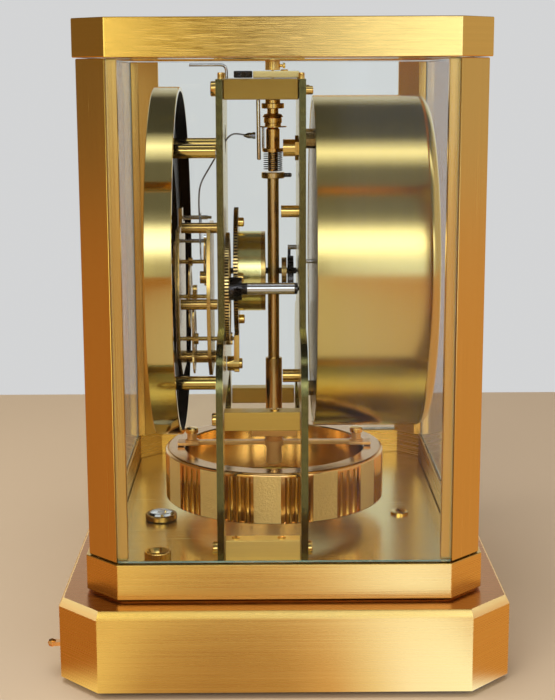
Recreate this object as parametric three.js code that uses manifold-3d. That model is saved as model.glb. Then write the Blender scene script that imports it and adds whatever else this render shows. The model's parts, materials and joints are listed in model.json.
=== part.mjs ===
// Atmospheric clock in a glazed brass case: lengths in millimetres, +Z up, dial facing -Y.
import Module from 'manifold-3d';
import * as THREE from 'three';
import { mergeVertices } from 'three/addons/utils/BufferGeometryUtils.js';

const wasm = await Module();
wasm.setup();

// Clearances
const fitGap = 0.3;
const cutOverrun = 1;

// Facets of round shapes, by size
const grandSides = 60;
const largeSides = 36;
const mediumSides = 24;
const smallSides = 14;
const tinySides = 8;
const curveSteps = 6;

// Plinth, its cover and its feet
const footHeight = 2;
const plinthHeight = 25.5;
const plinthBevelHeight = 2.8;
const plinthBevelInset = 1.5;
const plinthMargin = 9;
const plinthWall = 2.2;
const coverThickness = 2;
const coverRecess = 1;
const frontFootEndInset = 45;
const frontFootInset = 14.5;
const rearFootInset = 16.5;
const footRadius = 8;
const footStemRadius = 3;
const footStemLength = 15;
const footBossRadius = 6;
const footBossDrop = 20;

// Lower frame, window and top frame
const frameHalfWidth = 94;
const frameHalfDepth = 67.5;
const frameChamfer = 11.5;
const frameWall = 4.5;
const frameReveal = 0.9;
const frameFootInset = 2;
const lowerFrameHeight = 12.3;
const floorThickness = 2.4;
const topFrameHeight = 12.4;
const topLedgeWidth = 3.5;
const topLedgeThickness = 2.3;
const topLedgeDrop = 6;
const topHeadroom = 7.1;

// Corner posts and panes
const postInset = 1;
const postEarWidth = 3.5;
const postEarDepth = 3;
const paneThickness = 2.4;
const paneInset = 0.2;

// Lock lever under the plinth's front edge
const leverEndInset = 23;
const leverHeight = 8;
const leverArmWidth = 3;
const leverArmThickness = 1.4;
const leverPivotInset = 30;
const leverPivotRadius = 1.6;
const leverPivotLength = 7;
const leverBossRadius = 4;
const leverSlotWidth = 17;
const leverNeck = 2.4;
const leverKnobRadius = 1.6;

// Things standing on the floor plate
const levelX = 10;
const levelFrontInset = 20.2;
const levelRadius = 6.2;
const levelHeight = 3.6;
const levelDomeRadius = 4.6;
const levelDomeHeight = 0.9;
const thumbEndInset = 27.5;
const thumbFrontInset = 23.1;
const thumbRadius = 4.7;
const thumbHeight = 6;
const thumbCupRadius = 3.4;
const thumbCupDepth = 2.2;

// Movement plates
const frontPlateY = -23.5;
const plateThickness = 2.5;
const plateSpacing = 27.4;
const plateHalfWidth = 30;
const shoulderRise = 79;
const shoulderDrop = 20;
const legHalfWidth = 62;
const archHalfWidth = 46;
const archSpring = 37;
const archRise = 51;
const archCrownHalfWidth = 32;
const wireWindowRadius = 5.6;
const wireWindowDrop = 22.5;

// Blocks and bars between the plates
const topBlockHeight = 7.3;
const topBlockHalfWidth = 28;
const topBlockBore = 5.4;
const stretcherWidth = 6.5;
const stretcherHeight = 6.7;
const stretcherInset = 1.2;
const nearStretcherRise = 48.2;
const farStretcherRise = 31.5;
const footBlockWidth = 6;
const footBlockHeight = 7.6;

// Suspension on top of the block
const staffY = -2.9;
const bridgeFront = 7.3;
const bridgeBack = 9.8;
const bridgeHalfWidth = 12;
const bridgeThickness = 2.5;
const bridgeBore = 1.5;
const headRadius = 2.85;
const headHeight = 4;
const headPinRadius = 0.8;
const headPinHeight = 2.6;
const wireRadius = 0.4;
const beatDiscY = -14.05;
const beatDiscRadius = 3.5;
const beatDiscThickness = 2.6;
const indexWireRadius = 0.6;
const indexWireFootY = -19.6;
const indexWireBendY = -21.4;
const indexWireTipY = -34.4;
const indexWireLift = 4.8;
const guardX = 7;
const guardTopY = -9.1;
const guardFootY = -7.6;
const guardWidth = 2.6;
const guardThickness = 0.9;
const guardLength = 22.4;

// Balance ring and hub
const ringRadius = 42.8;
const ringBore = 35;
const ringHeight = 19.3;
const ringRise = 8.1;
const fluteGroups = 12;
const flutesPerGroup = 3;
const fluteDepth = 0.7;
const fluteGroupShare = 0.4;
const panelSteps = 3;
const armHalfLength = 38;
const armHalfWidth = 3;
const armThickness = 1.8;
const armWeightReach = 32.4;
const armWeightRadius = 2.7;
const armWeightHeight = 3.4;
const armStudRadius = 1.2;
const armStudHeight = 2;
const hubRadius = 9.4;
const hubThickness = 3.4;

// Balance staff, roller stack and damping spring, as heights above the hub
const sleeveRadius = 3.2;
const sleeveLength = 29.4;
const tubeRadius = 2.2;
const collarRadius = 4.45;
const collarThickness = 2.3;
const collarPegRadius = 0.8;
const collarPegReach = 7.1;
const coreRadius = 1.9;
const coreLength = 16.6;
const lowerDiscRadius = 5.2;
const lowerDiscThickness = 0.5;
const drumSectionRadius = 3.45;
const drumSectionLength = 3.1;
const coneRadius = 4;
const coneLength = 1.3;
const neckRadius = 2.15;
const neckLength = 2.1;
const upperCollarRadius = 4.3;
const upperCollarLength = 2;
const capStackRadius = 2.85;
const capStackLength = 1.4;
const stackHeadroom = 0.4;
const impulsePinHeight = 8.2;
const impulsePinRadius = 0.6;
const impulsePinReach = 4.9;
const impulsePinDrop = 2.6;
const crossWireRadius = 0.35;
const crossWireReach = 6.6;
const springWireRadius = 0.16;
const springCoilRadius = 3.2;
const springPitch = 0.8;
const springTurns = 9;
const springStepsPerTurn = 8;
const springWireSides = 5;
const springSeatGap = 0.4;

// Dial, its pillars and its hands
const dialHubGap = 0.8;
const dialTopGap = 2.8;
const dialFrontY = -47.4;
const dialDepth = 9.6;
const dialRadius = 66.5;
const dialWall = 1.7;
const dialBezelWidth = 2.2;
const dialBezelThickness = 1.2;
const dialFaceRecess = 4.1;
const dialFaceThickness = 1.2;
const dialBoreInset = 25.5;
const markCount = 12;
const markLength = 9;
const markWidth = 1.6;
const markHeight = 0.5;
const markInset = 9.5;
const dialPillarX = 25.5;
const upperPillarInset = 16;
const lowerPillarInset = 17.1;
const dialPillarRadius = 2.5;
const hourHandInset = 30.5;
const minuteHandInset = 14.5;
const handThickness = 0.5;
const handHubRadius = 3;
const handTailLength = 9;
const hourHandWidth = 4.4;
const minuteHandWidth = 3.2;
const handSpacing = 0.8;
const handNutRadius = 1.3;
const handNutLength = 0.9;
const handTailShare = 0.5;
const handShoulderShare = 0.67;
const shownHour = 10;
const shownMinute = 9;
const hoursPerTurn = 12;
const minutesPerTurn = 60;

// Motion module between the dial and the front plate
const modulePlateThickness = 1.4;
const moduleSpacing = 10;
const moduleStandoff = 2.8;
const moduleHalfWidth = 22;
const moduleMiddleX = 6;
const moduleHeight = 57;
const moduleDrop = 42.5;
const modulePillarRadius = 2;
const moduleTongueHalfWidth = 3.4;
const moduleTongueRise = 20.6;
const bushX = 12;
const bushDrop = 4.4;
const bushRadius = 2.4;
const bushLength = 3;
// Outline and pillars of the small plates, as [across the half width, up the height]
const modulePlateShares = [
  [-1, 0.96], [-1, 0.6], [-0.85, 0], [0.2, 0], [0.8, 0.16], [1, 0.45], [1, 0.66], [0.66, 1], [-0.9, 1],
];
const modulePillarShares = [[0.36, 1], [0.82, 0.52], [-0.55, 0.07]];

// Arbors: places seen from the front, as an offset to the right of the dial centre and a rise above it
const driveArborX = -4.4;
const driveArborRise = -4.2;
const secondArborX = 24;
const secondArborRise = -7;
const lowerArborX = 14;
const lowerArborRise = -27.6;
const thirdArborX = 5;
const thirdArborRise = -12.8;
const escapeArborX = -9;
const escapeArborRise = 7;
const palletArborX = -2;
const palletArborRise = 16.9;
const motionArborX = -8.2;
const motionArborRise = -5;
const pivotRadius = 0.55;
const arborRadius = 0.8;

// Tooth counts
const barrelTeeth = 120;
const secondPinionTeeth = 20;
const secondWheelTeeth = 108;
const lowerPinionTeeth = 12;
const lowerWheelTeeth = 72;
const thirdPinionTeeth = 24;
const thirdWheelTeeth = 80;
const centrePinionTeeth = 10;
const centreWheelTeeth = 60;
const escapePinionTeeth = 15;
const escapeWheelTeeth = 15;
const cannonTeeth = 12;
const minuteWheelTeeth = 36;
const minutePinionTeeth = 10;
const hourWheelTeeth = 40;
const ratchetTeeth = 24;
const toothTipShare = 0.42;
const toothRootShare = 0.95;
const ratchetBackShare = 0.9;

// Arms of the wheels: the rim's and hub's edges as shares of a pitch radius
const crossingSteps = 4;
const wheelArms = 4;
const secondWheelArms = 5;
const wheelArmShare = 0.2;
const wheelRimShare = 0.82;
const secondHubShare = 1.6;
const lowerHubShare = 0.8;
const thirdHubShare = 1.2;
const centreHubShare = 0.3;

// Wheels and pinions along Y
const wheelThickness = 1.4;
const fineWheelThickness = 0.6;
const wheelPlateGap = 0.5;
const barrelWheelOffset = 3;
const barrelWheelThickness = 1.7;
const cupRadius = 15.45;
const cupLength = 10.3;
const cupBore = 1.6;
const driveArborRadius = 1.2;
const secondArborRadius = 2.15;
const secondPinionLength = 3.8;
const pulleyRadius = 5.2;
const pulleyThickness = 1.9;
const pulleyOffset = 6.1;
const ratchetRadius = 5.8;
const ratchetThickness = 2.3;
const ratchetOffset = 3.8;
const ratchetDepth = 0.9;
const cockThickness = 2;
const cockWidth = 5;
const cockDrop = 9.6;
const cockPillarRadius = 2.9;
const cockStandoff = 3;
const cockHeadRise = 1.65;
const lowerWheelOffset = 4.4;
const lowerBossLength = 1.8;
const thirdWheelOffset = 2.6;
const centreWheelOffset = 8.2;
const escapeWheelOffset = 6.3;
const escapeWheelRadius = 8.5;
const escapeToothDepth = 1.7;
const escapeGapShares = [0.25, 0.8];
const motionLayer = 0.8;
const pinionCollar = 0.5;
const clickX = 5.4;
const clickRise = 4;
const clickWidth = 1.8;

// Pallet fork and its wire
const palletClearance = 0.8;
const palletSpanDegrees = 45;
// Outline of the pallets, as [turn within the span, place between wheel and pallet arbor]
const palletShares = [
  [1, 0], [0.5, 0.3], [0, 0.45], [-0.5, 0.3], [-1, 0], [-1, 0.5], [-0.5, 1], [0, 1.35], [0.5, 1], [1, 0.5],
];
// Bends of the fork wire, as [way to the front plate, way up to the tip]
const forkRouteShares = [[0, 0.18], [0.31, 0.48], [1, 0.83]];
const forkWireSteps = 24;
const forkTipDrop = 21.3;
const forkWireRadius = 0.3;
const forkTipRadius = 1.1;
const forkTipFrontY = -13.4;
const forkTipBackY = -9.5;

// Drum behind the rear plate
const drumRadius = 63.15;
const drumFrontGap = 3.1;
const drumRearGap = 9.1;
const drumWall = 1.8;
const drumEdgeRadius = 4;
const drumEdgeSteps = 3;
const drumCoverThickness = 1.5;
const drumCoverBore = 3;
const drumBossRadius = 3;
const drumBossRingRadius = 50;
const drumBossDegrees = [70, 110, 270];
const bellowsRadius = 52;
const bellowsInnerRadius = 44;
const bellowsShare = 0.54;
const bellowsPleats = 4;
const endPlateRadius = 50;
const endPlateThickness = 1.4;
const drawRodRadius = 0.8;

// Studs on the rear plate
const studX = 12;
const upperStudRise = 44;
const middleStudRise = 20.4;
const lowerStudDrop = 42.5;
const upperStudRadius = 3.2;
const upperStudLength = 5.6;
const upperNutRadius = 4.6;
const upperNutThickness = 1.2;
const hexSides = 6;
const middleStudRadius = 2.3;
const middleStudLength = 6.4;
const lowerStudRadius = 2.6;
const lowerStudLength = 6;

// Heights and depths that follow from the sizes above
const plinthBodyTop = footHeight + plinthHeight;
const plinthTop = plinthBodyTop + plinthBevelHeight;
const frameBottom = plinthTop + frameReveal;
const frameTop = frameBottom + lowerFrameHeight;
const floorBottom = plinthTop + fitGap;
const floorTop = floorBottom + floorThickness;
const seatZ = floorTop + fitGap;
const hubRise = ringRise + ringHeight + fitGap;
const dialRise = hubRise + armThickness + hubThickness + dialHubGap + dialRadius;
const plateTop = floorTop + dialRise + dialRadius + dialTopGap;
const capBottom = plateTop + topHeadroom;
const capTop = capBottom + topFrameHeight;
const plinthHalfWidth = frameHalfWidth + plinthMargin;
const frontFootX = plinthHalfWidth - frontFootEndInset;
const plinthHalfDepth = frameHalfDepth + plinthMargin;
const leverX = plinthHalfWidth - leverEndInset;
const levelY = levelFrontInset - frameHalfDepth;
const thumbX = frameHalfWidth - thumbEndInset;
const thumbY = thumbFrontInset - frameHalfDepth;
const diagonalShare = 2 - Math.SQRT2;
const plinthChamfer = frameChamfer + plinthMargin * diagonalShare / 2;
const frontPlateBack = frontPlateY + plateThickness;
const rearPlateY = frontPlateBack + plateSpacing;
const rearPlateBack = rearPlateY + plateThickness;
const dialZ = floorTop + dialRise;
const hubBottom = floorTop + hubRise;
const hubTop = hubBottom + armThickness + hubThickness;
const staffBottom = hubTop + fitGap;
const blockBottom = plateTop - topBlockHeight;
const stackLength = coreLength + lowerDiscThickness + drumSectionLength + coneLength
  + neckLength + upperCollarLength + capStackLength;
const collarTop = blockBottom - stackHeadroom - stackLength - fitGap;
const collarBottom = collarTop - collarThickness;
const tubeLength = collarBottom - staffBottom - sleeveLength;
const bridgeBottom = plateTop + fitGap;
const bridgeTop = bridgeBottom + bridgeThickness;
const moduleRearBack = frontPlateY - moduleStandoff;
const moduleRearFront = moduleRearBack - modulePlateThickness;
const moduleFrontBack = moduleRearFront - moduleSpacing;
const moduleFrontY = moduleFrontBack - modulePlateThickness;
const drumFrontY = rearPlateBack + drumFrontGap;
const drumBackY = frameHalfDepth - postInset - paneInset - paneThickness - drumRearGap;
const knobReach = leverNeck + leverKnobRadius * 2;

const drive = arborAt(driveArborX, driveArborRise);
const second = arborAt(secondArborX, secondArborRise);
const lower = arborAt(lowerArborX, lowerArborRise);
const third = arborAt(thirdArborX, thirdArborRise);
const centre = arborAt(0, 0);
const escape = arborAt(escapeArborX, escapeArborRise);
const pallet = arborAt(palletArborX, palletArborRise);
const motion = arborAt(motionArborX, motionArborRise);

function arborAt(x, rise) {
  return { x, z: dialZ + rise };
}

// Materials
function metal(color, roughness) {
  return new THREE.MeshStandardMaterial({ color, roughness, metalness: 1 });
}

const caseBrass = metal(0xd9b26a, 0.3);
const plateBrass = metal(0xc9a955, 0.35);
const polishedBrass = metal(0xdcb75c, 0.15);
const darkBrass = metal(0x8f7338, 0.4);
const copper = metal(0xc98a5c, 0.25);
const steel = metal(0xb9bcc0, 0.25);
const darkSteel = metal(0x3a3b3d, 0.4);
const glass = new THREE.MeshStandardMaterial({
  color: 0xdfe8e4, roughness: 0.05, metalness: 0, transparent: true, opacity: 0.25,
});
const dialWhite = new THREE.MeshStandardMaterial({ color: 0xf1eee4, roughness: 0.5, metalness: 0 });

// Geometry helpers
function closedGeometry(geometry) {
  const bare = new THREE.BufferGeometry();
  bare.setAttribute('position', geometry.getAttribute('position').clone());
  if (geometry.index) {
    bare.setIndex(geometry.index.clone());
  }
  const merged = mergeVertices(bare);
  const source = merged.index.array;
  const kept = [];
  for (let i = 0; i < source.length; i += 3) {
    const [a, b, c] = [source[i], source[i + 1], source[i + 2]];
    if (a !== b && b !== c && c !== a) {
      kept.push(a, b, c);
    }
  }
  merged.setIndex(kept);
  if (signedVolume(merged) < 0) {
    merged.setIndex(kept.reverse());
  }
  return merged;
}

function signedVolume(geometry) {
  const position = geometry.getAttribute('position');
  const index = geometry.index.array;
  const [a, b, c] = [new THREE.Vector3(), new THREE.Vector3(), new THREE.Vector3()];
  let total = 0;
  for (let i = 0; i < index.length; i += 3) {
    a.fromBufferAttribute(position, index[i]);
    b.fromBufferAttribute(position, index[i + 1]);
    c.fromBufferAttribute(position, index[i + 2]);
    total += a.dot(b.cross(c));
  }
  return total;
}

function solid(geometry) {
  const closed = closedGeometry(geometry);
  return new wasm.Manifold(new wasm.Mesh({
    numProp: 3,
    vertProperties: new Float32Array(closed.getAttribute('position').array),
    triVerts: new Uint32Array(closed.index.array),
  }));
}

function fromSolid(body) {
  const mesh = body.getMesh();
  const geometry = new THREE.BufferGeometry();
  geometry.setAttribute('position', new THREE.BufferAttribute(new Float32Array(mesh.vertProperties), 3));
  geometry.setIndex(new THREE.BufferAttribute(new Uint32Array(mesh.triVerts), 1));
  return geometry;
}

function join(...geometries) {
  return fromSolid(geometries.map(solid).reduce((whole, next) => whole.add(next)));
}

function cut(geometry, ...tools) {
  return fromSolid(tools.map(solid).reduce((whole, next) => whole.subtract(next), solid(geometry)));
}

function block([x0, x1], [y0, y1], [z0, z1]) {
  const geometry = new THREE.BoxGeometry(x1 - x0, y1 - y0, z1 - z0);
  return geometry.translate((x0 + x1) / 2, (y0 + y1) / 2, (z0 + z1) / 2);
}

// A round bar along Y or Z, between two stations
function barY(radius, from, to, { x, z }, sides) {
  const geometry = new THREE.CylinderGeometry(radius, radius, to - from, sides);
  return geometry.translate(x, (from + to) / 2, z);
}

function barZ(radius, from, to, x, y, sides) {
  const geometry = new THREE.CylinderGeometry(radius, radius, to - from, sides).rotateX(Math.PI / 2);
  return geometry.translate(x, y, (from + to) / 2);
}

// Turned pieces: points are [radius, station] along the axis
function turnedY(points, { x, z }, sides) {
  const profile = points.map(([radius, station]) => new THREE.Vector2(radius, station));
  return new THREE.LatheGeometry(profile, sides).translate(x, 0, z);
}

function turnedZ(points, x, y, sides) {
  const profile = points.map(([radius, station]) => new THREE.Vector2(radius, station));
  return new THREE.LatheGeometry(profile, sides).rotateX(Math.PI / 2).translate(x, y, 0);
}

// A profile of cylinders stacked from a start, as [radius, length]
function stackedProfile(start, steps) {
  const points = [[0, start]];
  let station = start;
  for (const [radius, length] of steps) {
    points.push([radius, station], [radius, station + length]);
    station += length;
  }
  points.push([0, station]);
  return points;
}

function ringProfile(innerRadius, outerRadius, from, to) {
  return [
    [innerRadius, from], [outerRadius, from], [outerRadius, to], [innerRadius, to], [innerRadius, from],
  ];
}

// A flat plate whose outline is drawn as seen from the front, x to the right and z up
function plateY(shape, from, to) {
  const geometry = new THREE.ExtrudeGeometry(shape, {
    depth: to - from, bevelEnabled: false, curveSegments: curveSteps,
  });
  return geometry.rotateX(Math.PI / 2).translate(0, to, 0);
}

function slabZ(shape, from, to) {
  const geometry = new THREE.ExtrudeGeometry(shape, { depth: to - from, bevelEnabled: false });
  return geometry.translate(0, 0, from);
}

function polygon(points) {
  return new THREE.Shape(points.map(([x, y]) => new THREE.Vector2(x, y)));
}

function chamferedPoints(halfWidth, halfDepth, chamfer) {
  return [
    [halfWidth - chamfer, -halfDepth], [halfWidth, chamfer - halfDepth],
    [halfWidth, halfDepth - chamfer], [halfWidth - chamfer, halfDepth],
    [chamfer - halfWidth, halfDepth], [-halfWidth, halfDepth - chamfer],
    [-halfWidth, chamfer - halfDepth], [chamfer - halfWidth, -halfDepth],
  ];
}

// The chamfered plan of the case, drawn in by an inset on every side
function insetPlan(halfWidth, halfDepth, chamfer, inset) {
  return chamferedPoints(halfWidth - inset, halfDepth - inset, chamfer - inset * diagonalShare);
}

function planSlab(halfWidth, halfDepth, chamfer, inset, from, to) {
  return slabZ(polygon(insetPlan(halfWidth, halfDepth, chamfer, inset)), from, to);
}

// A solid with flat ends whose sides join plans of equal point counts
function lofted(sections) {
  const count = sections[0].points.length;
  const positions = sections.flatMap(({ points, z }) => points.flatMap(([x, y]) => [x, y, z]));
  const index = [];
  for (let level = 0; level < sections.length - 1; level += 1) {
    for (let i = 0; i < count; i += 1) {
      const next = (i + 1) % count;
      const [a, b] = [level * count + i, level * count + next];
      index.push(a, b, b + count, a, b + count, a + count);
    }
  }
  const top = (sections.length - 1) * count;
  for (let i = 1; i < count - 1; i += 1) {
    index.push(0, i + 1, i);
    index.push(top, top + i, top + i + 1);
  }
  const geometry = new THREE.BufferGeometry();
  geometry.setAttribute('position', new THREE.BufferAttribute(new Float32Array(positions), 3));
  geometry.setIndex(index);
  return geometry;
}

// A tube along a curve, with its section given by its sides
function tubeAlong(curve, radius, steps, sides) {
  const section = new THREE.Shape();
  for (let i = 0; i < sides; i += 1) {
    const angle = i / sides * 2 * Math.PI;
    const [x, y] = [radius * Math.cos(angle), radius * Math.sin(angle)];
    if (i === 0) {
      section.moveTo(x, y);
    } else {
      section.lineTo(x, y);
    }
  }
  section.closePath();
  return new THREE.ExtrudeGeometry(section, { steps, extrudePath: curve, bevelEnabled: false });
}

function pivotHole(arbor, from, to) {
  return barY(pivotRadius + fitGap, from, to, arbor, tinySides);
}

// Gears: teeth come to a point, so each pitch takes two points of the outline
function toothedShape(teeth, pitchRadius, phase, { x, z }) {
  const toothUnit = 2 * pitchRadius / teeth;
  const tip = pitchRadius + toothUnit * toothTipShare;
  const root = pitchRadius - toothUnit * toothRootShare;
  const points = [];
  for (let i = 0; i < teeth; i += 1) {
    for (const [radius, half] of [[tip, 0], [root, 1]]) {
      const angle = phase + (2 * i + half) * Math.PI / teeth;
      points.push([x + radius * Math.cos(angle), z + radius * Math.sin(angle)]);
    }
  }
  return polygon(points);
}

function distanceBetween(a, b) {
  return Math.hypot(b.x - a.x, b.z - a.z);
}

// Pitch radius of the first of two meshed wheels, from their centres and tooth counts
function pitchRadiusOf(arbor, teeth, other, otherTeeth) {
  return distanceBetween(arbor, other) * teeth / (teeth + otherTeeth);
}

// Phase that sets a gap of this wheel against a tooth of the wheel that drives it
function meshedPhase(driver, driverTeeth, driverPhase, arbor, teeth) {
  const direction = Math.atan2(arbor.z - driver.z, arbor.x - driver.x);
  const driverPitch = 2 * Math.PI / driverTeeth;
  const pitch = 2 * Math.PI / teeth;
  const offset = (direction - driverPhase) / driverPitch;
  return direction + Math.PI - pitch * (1 / 2 - offset);
}

// Openings between the arms of a wheel
function crossings(wheelArbor, hubEdge, rimEdge, arms) {
  const holes = [];
  for (let arm = 0; arm < arms; arm += 1) {
    const start = (arm + wheelArmShare / 2) / arms * 2 * Math.PI;
    const end = (arm + 1 - wheelArmShare / 2) / arms * 2 * Math.PI;
    const points = [];
    for (let step = 0; step <= crossingSteps; step += 1) {
      const angle = start + (end - start) * step / crossingSteps;
      points.push([wheelArbor.x + rimEdge * Math.cos(angle), wheelArbor.z + rimEdge * Math.sin(angle)]);
    }
    for (const share of [2 / 3, 1 / 3]) {
      const angle = start + (end - start) * share;
      points.push([wheelArbor.x + hubEdge * Math.cos(angle), wheelArbor.z + hubEdge * Math.sin(angle)]);
    }
    holes.push(new THREE.Path(points.map(([x, z]) => new THREE.Vector2(x, z))));
  }
  return holes;
}

// Assembly: the case is centred on X, and the whole stands with its box centred on Y too
const clock = new THREE.Group();
clock.position.set(0, knobReach / 2, 0);

function place(name, geometry, material) {
  const mesh = new THREE.Mesh(closedGeometry(geometry), material);
  mesh.name = name;
  clock.add(mesh);
}

// Plinth with bosses for the feet and the lever
const footPlaces = [
  { name: 'levelling_foot_left', x: -frontFootX, y: frontFootInset - plinthHalfDepth },
  { name: 'levelling_foot_right', x: frontFootX, y: frontFootInset - plinthHalfDepth },
  { name: 'rear_foot', x: 0, y: plinthHalfDepth - rearFootInset },
];
const leverPivotY = leverPivotInset - plinthHalfDepth;
const leverTop = footHeight + leverHeight + leverArmThickness;

function buildPlinth() {
  const plan = (inset) => insetPlan(plinthHalfWidth, plinthHalfDepth, plinthChamfer, inset);
  const shell = lofted([
    { points: plan(0), z: footHeight },
    { points: plan(0), z: plinthBodyTop },
    { points: plan(plinthBevelInset), z: plinthTop },
  ]);
  const hollow = planSlab(
    plinthHalfWidth, plinthHalfDepth, plinthChamfer, plinthWall, footHeight - cutOverrun, plinthBodyTop,
  );
  const bosses = footPlaces.map(({ x, y }) => (
    barZ(footBossRadius, plinthTop - footBossDrop, plinthTop - fitGap, x, y, smallSides)
  ));
  const leverBoss = barZ(
    leverBossRadius, leverTop + fitGap, plinthTop - fitGap, leverX, leverPivotY, smallSides,
  );
  const boreTop = footHeight + footStemLength + fitGap;
  const bores = footPlaces.map(({ x, y }) => (
    barZ(footStemRadius + fitGap, footHeight, boreTop, x, y, smallSides)
  ));
  const leverBore = barZ(
    leverPivotRadius + fitGap, leverTop, leverTop + leverPivotLength + fitGap, leverX, leverPivotY, tinySides,
  );
  const slot = block(
    [leverX - leverSlotWidth / 2, leverX + leverSlotWidth / 2],
    [-plinthHalfDepth - cutOverrun, plinthWall + cutOverrun - plinthHalfDepth],
    [footHeight + leverHeight - fitGap, leverTop + fitGap],
  );
  const body = join(cut(shell, hollow), ...bosses, leverBoss);
  place('plinth', cut(body, ...bores, leverBore, slot), caseBrass);
}

function buildFeet() {
  for (const { name, x, y } of footPlaces) {
    const profile = stackedProfile(0, [
      [footRadius, footHeight - fitGap],
      [footStemRadius, footStemLength],
    ]);
    place(name, turnedZ(profile, x, y, smallSides), darkBrass);
  }
  const from = footHeight + coverRecess;
  const cover = planSlab(
    plinthHalfWidth, plinthHalfDepth, plinthChamfer, plinthWall + fitGap, from, from + coverThickness,
  );
  const holes = footPlaces.map(({ x, y }) => (
    barZ(footStemRadius + fitGap, from - cutOverrun, from + coverThickness + cutOverrun, x, y, smallSides)
  ));
  place('bottom_cover', cut(cover, ...holes), darkSteel);
}

function buildLockLever() {
  const bottom = footHeight + leverHeight;
  const eye = barZ(leverArmWidth, bottom, leverTop, leverX, leverPivotY, smallSides);
  const pivot = barZ(
    leverPivotRadius, bottom, leverTop + leverPivotLength, leverX, leverPivotY, tinySides,
  );
  const arm = block(
    [leverX - leverArmWidth / 2, leverX + leverArmWidth / 2],
    [-plinthHalfDepth - leverNeck - leverKnobRadius, leverPivotY],
    [bottom, leverTop],
  );
  const knob = new THREE.SphereGeometry(leverKnobRadius, tinySides, tinySides / 2).translate(
    leverX, -plinthHalfDepth - leverNeck - leverKnobRadius, bottom + leverArmThickness / 2,
  );
  place('lock_lever', join(eye, pivot, arm, knob), darkBrass);
}

// Frames, posts, panes and the floor
function buildFrames() {
  const frame = (inset, from, to) => planSlab(frameHalfWidth, frameHalfDepth, frameChamfer, inset, from, to);
  const lowerRing = cut(
    join(frame(0, frameBottom, frameTop), frame(frameFootInset, floorBottom, frameTop)),
    frame(frameWall, floorBottom - cutOverrun, frameTop + cutOverrun),
  );
  place('lower_frame', lowerRing, caseBrass);
  place('floor_plate', frame(frameWall + fitGap, floorBottom, floorTop), plateBrass);
  const ledgeTop = capTop - topLedgeDrop + topLedgeThickness;
  const ledgeBottom = capTop - topLedgeDrop;
  const upperRing = cut(
    frame(0, capBottom, capTop),
    frame(frameWall, capBottom - cutOverrun, ledgeBottom),
    frame(frameWall + topLedgeWidth, ledgeBottom - cutOverrun, ledgeTop + cutOverrun),
    frame(frameWall, ledgeTop, capTop + cutOverrun),
  );
  place('top_frame', upperRing, caseBrass);
  place(
    'top_glass', frame(frameWall + fitGap, ledgeTop + fitGap, ledgeTop + fitGap + paneThickness), glass,
  );
}

const postHalfWidth = frameHalfWidth - postInset;
const postHalfDepth = frameHalfDepth - postInset;
const postChamfer = frameChamfer - postInset;
const rebate = paneInset + paneThickness + fitGap;
const windowBottom = frameTop + fitGap;
const windowTop = capBottom - fitGap;

function buildPosts() {
  const earEnd = postChamfer + postEarWidth;
  const section = [
    [postHalfWidth - postChamfer, postHalfDepth],
    [postHalfWidth, postHalfDepth - postChamfer],
    [postHalfWidth - rebate, postHalfDepth - postChamfer],
    [postHalfWidth - rebate, postHalfDepth - earEnd],
    [postHalfWidth - rebate - postEarDepth, postHalfDepth - earEnd],
    [postHalfWidth - earEnd, postHalfDepth - rebate - postEarDepth],
    [postHalfWidth - earEnd, postHalfDepth - rebate],
    [postHalfWidth - postChamfer, postHalfDepth - rebate],
  ];
  const sides = [
    ['front_left', -1, -1], ['front_right', 1, -1], ['rear_left', -1, 1], ['rear_right', 1, 1],
  ];
  for (const [corner, alongX, alongY] of sides) {
    const points = section.map(([x, y]) => [alongX * x, alongY * y]);
    place(`corner_post_${corner}`, slabZ(polygon(points), windowBottom, windowTop), caseBrass);
  }
}

function buildPanes() {
  const paneHalfX = postHalfWidth - postChamfer - fitGap;
  const paneHalfY = postHalfDepth - postChamfer - fitGap;
  const outerX = postHalfWidth - paneInset;
  const outerY = postHalfDepth - paneInset;
  const height = [windowBottom, windowTop];
  place('front_glass', block([-paneHalfX, paneHalfX], [-outerY, paneThickness - outerY], height), glass);
  place('rear_glass', block([-paneHalfX, paneHalfX], [outerY - paneThickness, outerY], height), glass);
  place('left_glass', block([-outerX, paneThickness - outerX], [-paneHalfY, paneHalfY], height), glass);
  place('right_glass', block([outerX - paneThickness, outerX], [-paneHalfY, paneHalfY], height), glass);
}

function buildFloorItems() {
  const level = turnedZ(stackedProfile(seatZ, [
    [levelRadius, levelHeight],
    [levelDomeRadius, levelDomeHeight],
  ]), levelX, levelY, mediumSides);
  place('spirit_level', level, polishedBrass);
  const thumbTop = seatZ + thumbHeight;
  const screw = turnedZ([
    [0, seatZ], [thumbRadius, seatZ], [thumbRadius, thumbTop], [thumbCupRadius, thumbTop],
    [thumbCupRadius, thumbTop - thumbCupDepth], [0, thumbTop - thumbCupDepth],
  ], thumbX, thumbY, mediumSides);
  place('floor_thumb_screw', screw, polishedBrass);
}

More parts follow.
